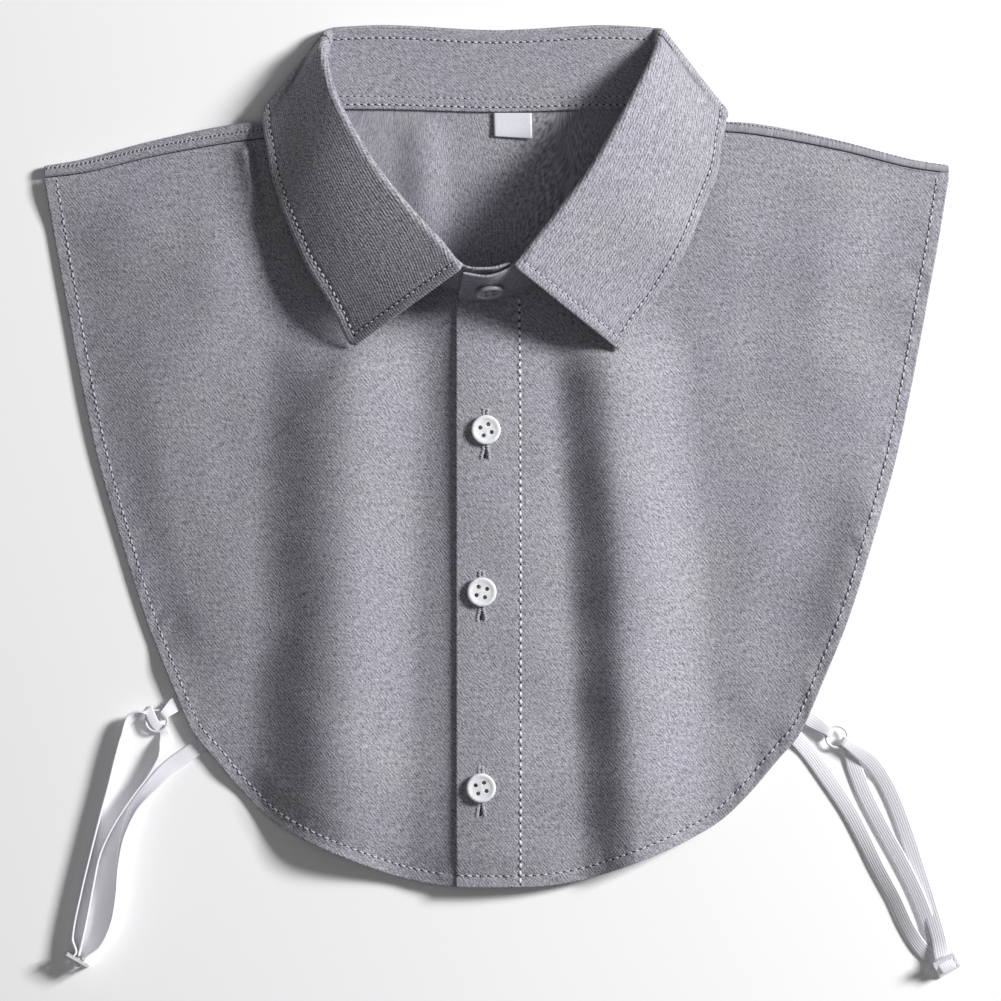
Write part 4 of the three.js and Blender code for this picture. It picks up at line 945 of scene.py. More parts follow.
def front_piece(name, side, inner_x, names, height_at):
    flat = front_pattern(side, inner_x, names)
    x, y = flat[..., 0], flat[..., 1]
    grid = np.dstack([x, y, height_at(x, y)])
    along, across = grid_lengths(grid)
    lay_down(grid, side, along, across)
    to_seam = along[-1] - along
    groove = -HEM_GROOVE * np.exp(-((across - HEM_STITCH) / 0.5) ** 2)
    band = -HEM_BAND * ease(across, HEM_STITCH - 0.2, HEM_STITCH + 1.0)
    relief = groove + band - SEAM_DIP * np.exp(-(to_seam / 1.2) ** 2)
    thick = np.full(x.shape, THIN)
    if side == "right":
        strip = x + PLACKET_LEFT
        doubled = 1 - ease(strip, PLACKET_WIDTH - 1.2, PLACKET_WIDTH)
        thick = THIN + (THIN_PLACKET - THIN) * doubled
        relief = relief - PLACKET_GROOVE * np.exp(-((strip - PLACKET_STITCH) / 0.6) ** 2)

    # the sheet's top face must look up on both sides
    flip = (lambda a: a) if side == "right" else (lambda a: a[::-1])
    uv = np.dstack([flip(x), flip(y)])
    return sheet_piece(name, flip(grid), flip(thick), flip(relief), uv)


front_right, right_top, right_up, right_area = front_piece(
    "front_right_cloth", "left", PLACKET_WIDTH - PLACKET_LEFT,
    ["under end", "under button", "left point", "left front", "left fall", "left side",
     "left neck"], lambda x, y: under_height(x, y, THIN_UNDERLAP))
front_left, left_top, left_up, left_area = front_piece(
    "front_left_cloth", "right", -PLACKET_LEFT,
    ["over end", "over button", "right point", "right front", "right fall", "right side",
     "right neck"], front_height)

# %% [markdown]
# A row of stitches holds the hem all round, and another, in a paler thread, holds the
# placket's inner edge. Each row follows the sheet's own top face.

# %% Stitch rows of the fronts
sew("hem_right", "front_right", *inside_line(right_top, right_up, "first column", HEM_STITCH),
    trim=(2, 32), seed=11)
sew("hem_left", "front_left", *inside_line(left_top, left_up, "first column", HEM_STITCH),
    trim=(1, 2), seed=12)
line, ups = inside_line(left_top, left_up, "first row", PLACKET_STITCH)
sew("placket", "front_left", line, ups, pitch=3.2, trim=(1.5, 2), thick=0.58, share=0.27,
    yarn="pale thread", seed=13)

# %% [markdown]
# ## The back
# The back is one flat sheet. At the shoulders it rolls forward and shows as a narrow
# strip with one row of stitches over the seam. Inside the neck a soft fold runs down it.

# %% Back
STRIP_GAP, STRIP_STITCH = 0.4, 3.6
BACK_FOLD, BACK_WAVE = 2.4, 0.35


def back_piece():
    def radius(across):
        edge = shoulder_line("left", "edge", across)
        return (shoulder_height(across) - back_height(across * HALF_WIDTH, edge)) / 2

    def roll_start(side, across):
        points = shoulder_points(side, "edge", across)
        points[:, 1] -= radius(across)
        return points

    names = ["left corner", "left back", "back", "right back", "right corner"]
    neck_points = [COLLAR[station_names.index(n)]["seam"][:2] + (0, 2 * STAND_CLOTH)
                   for n in names]
    end = np.array([NECK_ACROSS])
    neck_points = [roll_start("left", end)[0], *neck_points, roll_start("right", end)[0]]
    neck_line, _, _ = line_through(neck_points)
    s = spacing(2 * hem_length, 5.0, first=False, last=False)
    t = 1 - (1 - spacing(250.0, 4.0, last=False)) ** 1.35
    q = 2 * s - 1
    hem = hem_at(q)
    ahead, behind = hem_at(np.minimum(q + 0.01, 1)), hem_at(np.maximum(q - 0.01, -1))
    inward = unit(np.stack([behind[:, 1] - ahead[:, 1], ahead[:, 0] - behind[:, 0]], 1))
    hem = hem + inward * (BACK_INSET * (1 - ease(np.abs(q), 0.86, 0.985)))[:, None]
    hem[0], hem[-1] = roll_start("left", np.array([1.0])), roll_start("right", np.array([1.0]))
    rolled = 1 + (NECK_ACROSS - 1) * t
    flat = patch(hem, neck_line(s), roll_start("left", rolled), roll_start("right", rolled), s, t)
    x, y = flat[..., 0], flat[..., 1]
    inside = bell((x + 24) / 60) * ease(y, 200, 245) * (1 - ease(y, 302, 316))
    ridge = BACK_FOLD * bell((x + 27 + 0.05 * (y - 240)) / 13) * inside
    hollow = unevenness(x, y, 21, 45, BACK_WAVE) * inside
    grid = np.dstack([x, y, back_height(x, y) + ridge + np.maximum(hollow, 0)])
    steps = np.concatenate([np.linspace(0, 1, 13)[1:], [1.08, 1.25, 1.6, 2.0]])

    def roll_rows(side):
        rows = []
        start = roll_start(side, rolled)
        low, r = back_height(start[:, 0], start[:, 1]), radius(rolled)
        for step in steps:
            angle = math.pi * min(step, 1)
            y_roll = start[:, 1] + r * math.sin(angle)
            if step > 1:
                seam = shoulder_line(side, "seam", rolled) + STRIP_GAP
                y_end = np.minimum(seam, start[:, 1] - GAP)
                y_roll = start[:, 1] + (y_end - start[:, 1]) * (step - 1)
            rows.append(np.stack([start[:, 0], y_roll, low + r * (1 - math.cos(angle))], 1))
        return np.array(rows)

    left, right = roll_rows("left")[::-1], roll_rows("right")
    whole = np.concatenate([left, grid, right])
    along, across = grid_lengths(whole)
    uv = np.dstack([along, across])
    return sheet_piece("back_cloth", whole, np.full(along.shape, THIN), 0 * along, uv)


back, back_top, back_up, back_area = back_piece()
for side, border, seed in (("right", "first row", 14), ("left", "last row", 15)):
    line, ups = inside_line(back_top - back_up * THIN, -back_up, border, STRIP_STITCH)
    sew(f"shoulder_{side}", "back", line, ups, pitch=1.8, trim=(1, 4), thick=0.24, share=0.45,
        slant=1.1 if side == "right" else -1.1, seed=seed)

# %% [markdown]
# ## The stand
# The stand is a stiff band, sewn to the neck and topstitched along both edges. At the back
# it lies flat and shows its inside: one row under the fold and two over the neck seam.

# %% Stand
def collar_steps(first, last, step=1.15):
    low, high = station_at[station_names.index(first)], station_at[station_names.index(last)]
    marks = [m for m in station_at if low < m < high]
    fine = spacing((high - low) * fold_length, step) * (high - low) + low
    return np.unique(np.concatenate([fine, marks]).round(6))


SEAM_ROW, SECOND_ROW, FOLD_ROW = 2.1, 5.5, 4.1
stand_t = collar_steps("under end", "over end")
stand_v = spacing(STAND_HEIGHT, 1.6)
print("steps round the stand:", len(stand_t))
low, high = through(station_at, seams, stand_t), through(station_at, folds, stand_t)
stand_grid = low[:, None] + (high - low)[:, None] * stand_v[None, :, None]
along, across = grid_lengths(stand_grid)
crown = 0.35 * np.sin(np.pi * stand_v)[None, :] * np.ones((len(stand_t), 1))
stand_grid = stand_grid - grid_normals(stand_grid) * crown[..., None] * 0.5
relief = np.zeros(across.shape)
for place in (SEAM_ROW, SECOND_ROW):
    relief -= 0.16 * np.exp(-((across - place) / 0.5) ** 2)
relief -= 0.20 * np.exp(-((across[:, -1:] - across - FOLD_ROW) / 0.5) ** 2)
relief += puckers(along, np.exp(-((across - 4) / 5.0) ** 2), 31, 0.10, 7.0)
stand, stand_top, stand_up, stand_area = sheet_piece(
    "stand_cloth", stand_grid, np.full(across.shape, THIN_COLLAR), relief,
    np.dstack([along, across]))
for name, border, inset, thick, seed in (("seam", "first column", SEAM_ROW, 0.40, 16),
                                         ("second", "first column", SECOND_ROW, 0.24, 17),
                                         ("fold", "last column", FOLD_ROW, 0.40, 18)):
    sew(f"stand_{name}", "stand", *inside_line(stand_top, stand_up, border, inset), pitch=2.8,
        trim=(3, 3), thick=thick, seed=seed)

# %% [markdown]
# ## The leaf
# The leaf rolls over the stand's top edge and falls to its two points. Two layers with a
# stiffener give it a crisp fold and a slightly puffed edge, held by a row of stitches
# inside it. It is built row by row: a small roll at the fold, then the fall. Outside its
# stitches the edge curls up a little, more on the left leaf than on the right one.

# %% Leaf
ROLL_STEPS = 9
LEAF_OVERLAP = 0.5
LEAF_STITCH, LEAF_CURL_LEFT, LEAF_CURL_RIGHT = 4.4, 0.75, 0.30


def leaf_rows(ts):
    shares = spacing(LEAF_WIDTH, 1.35, first=False)[1:]
    rows = []
    for t in ts:
        fold = through(station_at, folds, t)
        rise = unit(rise_at(t))
        outward = outward_at(t)
        fall = unit(through(leaf_at, leaf_ways, t))
        wide = float(through(leaf_at, leaf_wide, t))
        standing = float(ease(rise[2], 0.05, 0.6))
        radius = BACK_ROLL + (THIN_ROLL - BACK_ROLL) * standing
        wide += 2 * (BACK_ROLL + ROLL_SOFTNESS * standing - radius)
        turn = math.atan2(max(fall @ outward, 0), fall @ rise)
        base = fold - rise * LEAF_OVERLAP
        angles = np.linspace(0, turn, ROLL_STEPS)[:, None]
        roll = base + outward * radius * (1 - np.cos(angles)) + rise * radius * np.sin(angles)
        flat = roll[-1] + fall * wide * shares[:, None]
        flat[:, 2] += LEAF_CROWN * standing * np.sin(np.pi * shares)
        row = np.concatenate([roll, flat])
        share = np.concatenate([np.zeros(ROLL_STEPS), shares])
        over = float(ease(rise[2], *OVER_SHOULDER))
        rest = front_height(row[:, 0], row[:, 1]) + CLEAR
        lift = np.maximum(over * ease(share, 0.1, 0.6), standing)
        row[:, 2] = np.maximum(row[:, 2], row[:, 2] + (rest - row[:, 2]) * lift)
        row[:, 2] = np.maximum(row[:, 2], LEAF_CLOTH / 2)
        rows.append(row)
    return np.array(rows)


print("leaf's stitches lie inside its edge, mm:", LEAF_STITCH)

# %% [markdown]
# The rows become a grid. Near its edge the grid curls up, and the relief gets the puff of
# the seam inside and the groove of the stitches.

# %% Leaf as a sheet
leaf_t = collar_steps("left point", "right point")
leaf_grid = leaf_rows(leaf_t)
along, across = grid_lengths(leaf_grid)
to_edge = across[:, -1:] - across
ends = np.minimum(along, along[-1] - along)
near_edge = np.minimum(to_edge, np.where(across > 3, ends, 99))
facing_up = ease(grid_normals(leaf_grid)[..., 2], 0.2, 0.7)
curl = LEAF_CURL_LEFT + (LEAF_CURL_RIGHT - LEAF_CURL_LEFT) * ease(leaf_grid[..., 0], -20, 20)
curl = curl * facing_up * np.clip(1 - near_edge / LEAF_STITCH, 0, 1)
leaf_grid = leaf_grid + grid_normals(leaf_grid) * curl[..., None]
puff = 0.14 * bell((near_edge - LEAF_STITCH / 2) / (LEAF_STITCH / 2))
relief = puff - 0.30 * np.exp(-((near_edge - LEAF_STITCH) / 0.55) ** 2)
relief = relief + puckers(along, np.exp(-((to_edge - 4) / 4.0) ** 2), 41, 0.12, 7.0)
leaf_uv = np.dstack([along[:, -1:] * np.ones_like(across), to_edge])
leaf, leaf_top, leaf_up, leaf_area = sheet_piece(
    "leaf_cloth", leaf_grid, np.full(across.shape, THIN_COLLAR + 0.1), relief, leaf_uv,
    round_over=0.8)
line, ups = inside_line(leaf_top, leaf_up, "last column", LEAF_STITCH)
sew("leaf_edge", "leaf", line, ups, pitch=2.9, trim=(LEAF_STITCH, LEAF_STITCH), thick=0.44,
    seed=19)
for border, seed in (("first row", 20), ("last row", 21)):
    line, ups = inside_line(leaf_top, leaf_up, border, LEAF_STITCH)
    sew(f"leaf_{border.split()[0]}_front", "leaf", line, ups, pitch=2.9,
        trim=(5, LEAF_STITCH), thick=0.34, seed=seed)

# %% [markdown]
# ## Buttons and buttonholes
# A shirt button is a small dish with a raised rim and four holes. It is turned on a lathe
# here too: one profile spun round, then four holes drilled with a boolean. All four
# buttons are copies of this one, so the slow boolean runs only once.

# %% One button
BUTTON_PROFILE = [(0.0, 0.70), (2.6, 0.68), (3.6, 0.72), (4.1, 0.84), (4.6, 1.02), (5.1, 1.10),
                  (5.5, 1.04), (5.85, 0.78), (6.0, 0.40), (5.95, -0.10), (5.6, -0.62),
                  (4.6, -1.02), (3.0, -1.18), (0.0, -1.20)]


def lathe(name, profile, sides=56):
    points, faces, rings = [], [], []
    for radius, z in profile:
        if radius == 0:
            rings.append([len(points)])
            points.append((0, 0, z))
            continue
        rings.append(list(range(len(points), len(points) + sides)))
        points += [(radius * math.cos(2 * math.pi * k / sides),
                    radius * math.sin(2 * math.pi * k / sides), z) for k in range(sides)]
    for upper, lower in zip(rings[:-1], rings[1:]):
        for k in range(sides):
            n = (k + 1) % sides
            if len(upper) == 1:
                faces.append([upper[0], lower[k], lower[n]])
            elif len(lower) == 1:
                faces.append([upper[k], lower[0], upper[n]])
            else:
                faces.append([upper[k], lower[k], lower[n], upper[n]])
    mesh = bpy.data.meshes.new(name)
    mesh.from_pydata([tuple(v * MM for v in p) for p in points], [], faces)
    return mesh


def drilled_button():
    blank = bpy.data.objects.new("button_blank", lathe("button_blank", BUTTON_PROFILE))
    bpy.context.scene.collection.objects.link(blank)
    for x, y in ((1, 1), (1, -1), (-1, 1), (-1, -1)):
        r = BUTTON_HOLE / 2
        drill = bpy.data.objects.new("drill", lathe("drill", [(0, 3), (r, 3), (r, -3), (0, -3)], 20))
        bpy.context.scene.collection.objects.link(drill)
        drill.location = (x * BUTTON_HOLE_SPREAD * MM, y * BUTTON_HOLE_SPREAD * MM, 0)
        cut = blank.modifiers.new("hole", "BOOLEAN")
        cut.operation, cut.object, cut.solver = "DIFFERENCE", drill, "EXACT"
    soften = blank.modifiers.new("soften", "BEVEL")
    soften.width, soften.segments, soften.limit_method = 0.0002, 2, "ANGLE"
    soften.angle_limit = math.radians(50)
    graph = bpy.context.evaluated_depsgraph_get()
    mesh = bpy.data.meshes.new_from_object(blank.evaluated_get(graph))
    for thing in [o for o in bpy.context.scene.objects if o.name.startswith(("drill", "button_blank"))]:
        bpy.data.objects.remove(thing)
    mesh.polygons.foreach_set("use_smooth", [True] * len(mesh.polygons))
    mesh.set_sharp_from_angle(angle=math.radians(40))
    return mesh


button_mesh = drilled_button()
print("button faces:", len(button_mesh.polygons))

# %% [markdown]
# A button on the placket rests on the cloth, so it leans as the cloth under it does. The
# buttonhole is a slit between two columns of close stitches. Its lower end gapes a little,
# because the button pulls at it, and its upper end is closed by a bar.

# %% Buttons and buttonholes on the placket
def place_button(name, centre, facing, spin, finish="button"):
    turn = Vector((0, 0, 1)).rotation_difference(Vector(facing)).to_matrix().to_4x4()
    place = Matrix.Translation(Vector((centre + shift) * MM)) @ turn
    mesh = button_mesh.copy()
    mesh.transform(place @ Matrix.Rotation(spin, 4, "Z"))
    piece = bpy.data.objects.new(f"{name}_shell", mesh)
    bpy.context.scene.collection.objects.link(piece)
    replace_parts(wear(piece, finish), name)


def front_facing(x, y):
    step = BUTTON_DIAMETER / 2
    slope_x = (front_height(x + step, y) - front_height(x - step, y)) / (2 * step)
    slope_y = (front_height(x, y + step) - front_height(x, y - step)) / (2 * step)
    return unit(np.array([-float(slope_x), -float(slope_y), 1.0]))


BUTTONS = [("button_1", 0.45, 0.776, 0.4), ("button_2", 0.39, 0.502, -0.25),
           ("button_3", 0.38, 0.171, 0.3)]
BUTTON_SHANK = 0.12
BUTTONHOLE_UP, BUTTONHOLE_DOWN, BUTTONHOLE_MOUTH = 8.2, 11.6, 5.5
STITCH_OUT, MOUTH_OUT, SLIT_WIDE, MOUTH_WIDE = 0.80, 0.75, 0.26, 0.32


def sew_buttonhole(name, x, y, facing, rng):
    run = np.arange(y - BUTTONHOLE_DOWN, y + BUTTONHOLE_UP, 0.52)
    centres, ahead = [], []
    for place in run:
        open_end = 1 - float(ease(place - run[0], 0, BUTTONHOLE_MOUTH))
        for way in (-1, 1):
            offset = way * (STITCH_OUT + MOUTH_OUT * open_end)
            centres.append((x + offset + rng.normal(0, 0.08), place + rng.normal(0, 0.06)))
            ahead.append((1.0, rng.normal(0, 0.15), 0.0))
    for offset in (-0.5, 0.5):
        centres.append((x + offset, run[-1] + 0.4))
        ahead.append((1.0, rng.normal(0, 0.2), 0.0))
    centres = np.array(centres)
    z = front_height(centres[:, 0], centres[:, 1]) + THIN_PLACKET / 2 + 0.10
    threads = beads(f"{name}_hole_stitches", np.column_stack([centres, z]), np.array(ahead),
                    np.tile(facing, (len(centres), 1)), np.array([0.72, 0.24, 0.26]))
    # the slit is a thin dark strip of painted shade in the opening, widest at its lower end
    slit_y = np.arange(y - BUTTONHOLE_DOWN + 0.6, y + BUTTONHOLE_UP - 0.5, 0.5)
    slit = np.column_stack([np.full(len(slit_y), x), slit_y,
                            front_height(x, slit_y) + THIN_PLACKET / 2 + 0.06])
    slit_wide = SLIT_WIDE + MOUTH_WIDE * (1 - ease(slit_y - run[0], 0, BUTTONHOLE_MOUTH))
    slit_size = np.stack([np.full(len(slit_y), 0.55), slit_wide, np.full(len(slit_y), 0.12)], 1)
    slits = beads(f"{name}_slit", slit, np.tile((0.0, 1.0, 0.0), (len(slit), 1)),
                  np.tile(facing, (len(slit), 1)), slit_size)
    threads["finish"], slits["finish"] = "thread", "painted hole shade"
    stitch_rows.setdefault("front_left", []).extend([threads, slits])


for name, share, up, spin in BUTTONS:
    x, y = -PLACKET_LEFT + share * PLACKET_WIDTH, up * FRONT_LENGTH
    facing = front_facing(x, y)
    step = BUTTON_DIAMETER / 2
    rims = [front_height(x + dx, y + dy) + (dx * facing[0] + dy * facing[1]) / facing[2]
            for dx, dy in ((step, 0), (-step, 0), (0, step), (0, -step), (0, 0))]
    centre = np.array([x, y, float(max(rims))])
    centre = centre + facing * (THIN_PLACKET / 2 + BUTTON_SHANK + BUTTON_THICKNESS / 2)
    place_button(name, centre, facing, spin)
    sew_buttonhole(name, x, y, facing, np.random.default_rng(50 + len(name) + int(up * 100)))
    print(f"{name}: {centre[2]:.1f} mm up, leans {math.degrees(math.acos(facing[2])):.0f} degrees")

# %% [markdown]
# The collar button sits on the stand's outer end and faces outward as the stand does. It
# lies in the shade between the two points, and that shade is painted on it: it is coloured a
# darker grey than the white buttons.

# %% Button on the stand
over_t = station_at[station_names.index("over button")]
facing = outward_at(over_t)
middle = (through(station_at, seams, over_t) + through(station_at, folds, over_t)) / 2
middle = middle + facing * (THIN_COLLAR / 2 + BUTTON_SHANK + BUTTON_THICKNESS / 2)
place_button("collar_button", middle, facing, 0.2, "shade-darkened button")
print("collar button leans", round(math.degrees(math.acos(facing[2]))), "degrees")

# %% [markdown]
# ## The size label
# A small loop of white satin hangs from the neck seam. It is left bare, with only the
# two woven edges of its tape.

# %% Label
LABEL_TAPE, LABEL_BEND = 0.28, 0.30
LABEL_TILT = 0.06
bend = np.linspace(0, np.pi, 9)[1:-1]
down_rows = np.linspace(0, LABEL_DROP, 15)
down = np.concatenate([down_rows, LABEL_DROP + LABEL_BEND * np.sin(bend), down_rows[::-1]])
level = np.concatenate([np.full(15, LABEL_BEND), LABEL_BEND * np.cos(bend),
                        np.full(15, -LABEL_BEND)])
share = np.linspace(0, 1, 21)[:, None]
lx = LABEL_OFFSET + (share - 0.5) * LABEL_WIDTH + LABEL_TILT * 0.5 * down[None]
ly = label_top - down[None] - LABEL_TILT * (share - 0.5) * LABEL_WIDTH * down[None] / LABEL_DROP
base = back_height(LABEL_OFFSET, label_top) + CLOTH / 2 + GAP + LABEL_CLOTH / 2
lz = base + level[None] + 0.9 * bell((down[None] - LABEL_DROP) / 7.0) * (0.5 + 0.5 * share)
label_grid = np.dstack([lx, ly, lz])[:, ::-1]
along, across = grid_lengths(label_grid)
label, _, _, label_area = sheet_piece(
    "label_satin_loop", label_grid, np.full(along.shape, LABEL_TAPE), 0 * along,
    np.dstack([along, across]), round_over=0.2)

# %% [markdown]
# ## Elastic, rings and sliders
# On each side a short folded tab holds a ring. The adjustable strap starts on the back,
# turns round the slider's middle bar, comes up to the ring, goes through it and back down.
# The bands are swept along the same smooth routes as the solids, in finer steps.

# %% Strap routes
RING_MIDDLE = ELASTIC_WIDTH / 2 + RING_CLEARANCE + RING_WIRE / 2
WIRE_TURN = RING_WIRE / 2 + GAP + ELASTIC_CLOTH / 2
RING_HEIGHT = 1.15 * WIRE_TURN + ELASTIC_CLOTH
WIRE_SAG = RING_MIDDLE - math.sqrt(RING_MIDDLE ** 2 - (PINCH * ELASTIC_WIDTH / 2) ** 2)
UP = np.array([0.0, 0.0, 1.0])


def wire_turn(centre, along, angles, across):
    controls = []
    for angle in angles:
        reach = WIRE_TURN * math.cos(math.radians(angle)) - WIRE_SAG * (90 < angle < 270)
        point = centre + along * reach + UP * WIRE_TURN * math.sin(math.radians(angle))
        controls.append(dict(point=point, across=across.copy(), wide=PINCH))
    return controls


print("wire to band, mm:", round(WIRE_TURN, 2))

# %% [markdown]
# A band is a rounded strip swept through its controls. Each control says where the band is
# and which way its width points, so the strip can twist from flat to standing on its edge.

# %% Elastic band
def band(name, controls, steps=8):
    """A rounded flat band through controls, with its length and width kept as places"""
    line, places, length = line_through([c["point"] for c in controls])
    count = (len(controls) - 1) * steps
    sides = np.linspace(0, 2 * np.pi, 17)[:-1]
    shape_w = np.sign(np.cos(sides)) * np.abs(np.cos(sides)) ** 0.30 / 2
    shape_h = np.sign(np.sin(sides)) * np.abs(np.sin(sides)) ** 0.55 / 2
    points, uv = [], []
    for i in range(count + 1):
        k = min(i // steps, len(controls) - 2)
        q = i / steps - k
        t = places[k] + (places[k + 1] - places[k]) * q
        ahead = unit(line(min(t + 0.002, 1)) - line(max(t - 0.002, 0)))
        across = controls[k]["across"] * (1 - q) + controls[k + 1]["across"] * q
        across = unit(across - ahead * (across @ ahead))
        wide = (controls[k].get("wide", 1) * (1 - q) + controls[k + 1].get("wide", 1) * q)
        wide *= ELASTIC_WIDTH
        centre = line(t)
        flatness = math.hypot(across[0], across[1])
        lowest = centre[2] - abs(across[2]) * wide / 2 - flatness * ELASTIC_CLOTH / 2
        centre = centre - UP * min(lowest, 0)
        normal = np.cross(ahead, across)
        thin = ELASTIC_CLOTH * 0.9
        for w, h in zip(shape_w, shape_h):
            points.append(centre + across * w * wide + normal * h * thin)
            uv.append((t * length, w * ELASTIC_WIDTH))
    faces = []
    n = len(sides)
    for i in range(count):
        for k in range(n):
            m = (k + 1) % n
            faces.append([i * n + k, (i + 1) * n + k, (i + 1) * n + m, i * n + m])
    faces.append(list(range(n)))
    faces.append(list(range(count * n + n - 1, count * n - 1, -1)))
    print(f"{name}: {length:.0f} mm of elastic")
    return mesh_piece(name, np.array(points), faces, np.array(uv))


# %% [markdown]
# The ring is a plain torus. The strap's way has two special stretches, round the slider's
# middle bar and through the ring. Every other stretch lies or stands on the table, and the
# last helper settles it there.

# %% Ring and the strap's way
def ring_piece(name, centre, around=48, sides=12):
    major, minor = RING_MIDDLE, RING_WIRE / 2
    points, faces = [], []
    for i in range(around):
        a = 2 * math.pi * i / around
        for k in range(sides):
            b = 2 * math.pi * k / sides
            r = major + minor * math.cos(b)
            points.append(centre + np.array([r * math.cos(a), r * math.sin(a), minor * math.sin(b)]))
            j, m = (i + 1) % around, (k + 1) % sides
            faces.append([i * sides + k, j * sides + k, j * sides + m, i * sides + m])
    return mesh_piece(name, np.array(points), faces)


def slider_turn(strap, centre):
    """The band's way round the slider's middle bar; sets how high the slider lies"""
    slider = strap["slider"]
    bar = UP if slider["roll"] == 90 else compass(slider["turn"] - 90)
    to_outer = compass(slider["turn"], slider["lean"])
    outside = unit(np.cross(to_outer, bar))
    outside = outside * (-1 if outside[1] > 0 else 1)
    slot_middle = (SLIDER_WIRE + SLIDER_SLOT) / 2
    half_length = SLIDER_WIRE * 1.5 + SLIDER_SLOT
    half_wide = ELASTIC_WIDTH / 2 + SLIDER_CLEARANCE + SLIDER_WIRE
    centre[2] = (abs(to_outer[2]) * half_length + abs(bar[2]) * half_wide
                 + abs(outside[2]) * SLIDER_WIRE / 2)
    turn = []
    for angle in (-1, 0, 45, 90, 135, 180, 181):
        straight = angle < 0 or angle > 180
        height = -1 if straight else math.sin(math.radians(angle))
        point = centre - to_outer * slot_middle * math.cos(math.radians(angle))
        turn.append(dict(point=point + outside * slot_middle * height, across=bar.copy()))
    return turn


def ring_thread(strap, ring_centre, to_tab):
    """The band's way through the ring: straight through at the left, round it at the right"""
    travel = compass(strap["thread_turn"])
    travel_across = np.array([-travel[1], travel[0], 0.0])
    if strap["side"] == "right":
        far_wire = ring_centre + travel * RING_MIDDLE
        return wire_turn(far_wire, travel, (60, 90, 135, 180, 225, 270, 300), travel_across)
    past = RING_MIDDLE + RING_WIRE
    thread = []
    for along, level in ((-past, 1.1), (-RING_MIDDLE, 1.05), (0, 0), (RING_MIDDLE, -1.05),
                         (past, -1.1)):
        point = ring_centre + travel * along + UP * level * WIRE_TURN
        point = point - to_tab * THREAD_SHIFT * (1 - abs(along) / past)
        thread.append(dict(point=point, across=travel_across.copy(), wide=PINCH))
    return thread


def settle(controls):
    """Lay rolled controls on the table, and keep the width from flipping over on the way"""
    previous = None
    for i, control in enumerate(controls):
        if "roll" in control:
            before = controls[max(i - 1, 0)]["point"]
            after = controls[min(i + 1, len(controls) - 1)]["point"]
            way = unit((after - before)[:2])
            level, roll = np.array([-way[1], way[0], 0.0]), control["roll"]
            control["point"][2] = control["height"] or (
                control["lift"] + math.sin(roll) * ELASTIC_WIDTH / 2
                + math.cos(roll) * ELASTIC_CLOTH / 2)
            choices = [a * level * math.cos(roll) + b * UP * math.sin(roll)
                       for a in (1, -1) for b in (1, -1)]
            if previous is not None:
                choices.sort(key=lambda c: -(c @ previous))
            control["across"] = choices[0]
        elif previous is not None and control["across"] @ previous < 0:
            control["across"] = -control["across"]
        previous = control["across"]
    return controls


# %% [markdown]
# One function makes a whole set of ring, tab and strap, because both sides have the same
# pieces and only their tables differ. The strap goes from its lap on the back down to the
# slider, round the bar, up through the ring and down to the slider again.

# %% Both strap sets
def strap_set(strap):
    origin = np.array([strap["hem"][0] * HALF_WIDTH, strap["hem"][1] * SHOULDER_HEIGHT, 0.0])
    sign, side = strap["sign"], strap["side"]

    def place(out, down, z=0.0):
        return origin + np.array([sign * out * STRAP_REACH, -down * STRAP_REACH, z])

    ring_centre = place(*strap["ring"], RING_HEIGHT)
    tab_start = place(*strap["tab"])
    to_tab = tab_start - ring_centre
    to_tab[2] = 0
    to_tab = unit(to_tab)
    tab_across = np.array([-to_tab[1], to_tab[0], 0.0])
    ring = wear(ring_piece(f"ring_{side}", ring_centre), "plastic")
    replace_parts(ring, f"strap_ring_{side}")

    near_wire = ring_centre + to_tab * RING_MIDDLE
    hem_under = HEM_HEIGHT - (CLOTH + ELASTIC_CLOTH) / 2 - GAP
    layer = ELASTIC_CLOTH + GAP

    def tab_point(along, z):
        point = tab_start - to_tab * along * TAB_LAP
        return dict(point=point + UP * z, across=tab_across)

    tab = band(f"tab_{side}", [
        tab_point(0, hem_under - layer), tab_point(1.5, hem_under - layer),
        *wire_turn(near_wire, to_tab, (270, 225, 180, 135, 90), tab_across),
        tab_point(1.5, hem_under), tab_point(0, hem_under)])
    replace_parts(wear(tab, "elastic"), f"strap_tab_{side}")

    slider = strap["slider"]
    turn = slider_turn(strap, place(slider["out"], slider["down"]))
    thread = ring_thread(strap, ring_centre, to_tab)

    def route(rows, height=None):
        return [dict(point=place(row[0], row[1]), roll=math.radians(row[2] if len(row) > 2 else 0),
                     lift=row[3] if len(row) > 3 else 0.0, height=height) for row in rows]

    on_back = CLOTH + GAP + ELASTIC_CLOTH / 2
    controls = [*route(strap["lap"], on_back), *route(strap["lower"]), *turn,
                *route(strap["outer"]), *thread, *route(strap["inner"])]
    strap_band = band(f"elastic_{side}", settle(controls))
    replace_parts(wear(strap_band, "elastic"), f"strap_{side}")


for strap in STRAPS:
    strap_set(strap)

# %% [markdown]
# The sliders are hard moulded plates, so the CAD solids are right as they are. They get a
# softened edge on a copy and the same plastic as the rings.

# %% Sliders
for side in ("left", "right"):
    source = frame["nodes"][f"strap_slider_{side}"]
    plate = bpy.data.objects.new(f"slider_{side}", source.data.copy())
    bpy.context.scene.collection.objects.link(plate)
    weld = plate.modifiers.new("weld", "WELD")
    weld.merge_threshold = 0.00001
    soften = plate.modifiers.new("soften", "BEVEL")
    soften.width, soften.segments, soften.limit_method = 0.0003, 3, "ANGLE"
    soften.angle_limit = math.radians(40)
    graph = bpy.context.evaluated_depsgraph_get()
    plate.data = bpy.data.meshes.new_from_object(plate.evaluated_get(graph))
    plate.modifiers.clear()
    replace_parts(wear(plate, "plastic"), f"strap_slider_{side}")
    print(f"slider_{side}: {len(plate.data.polygons)} faces")
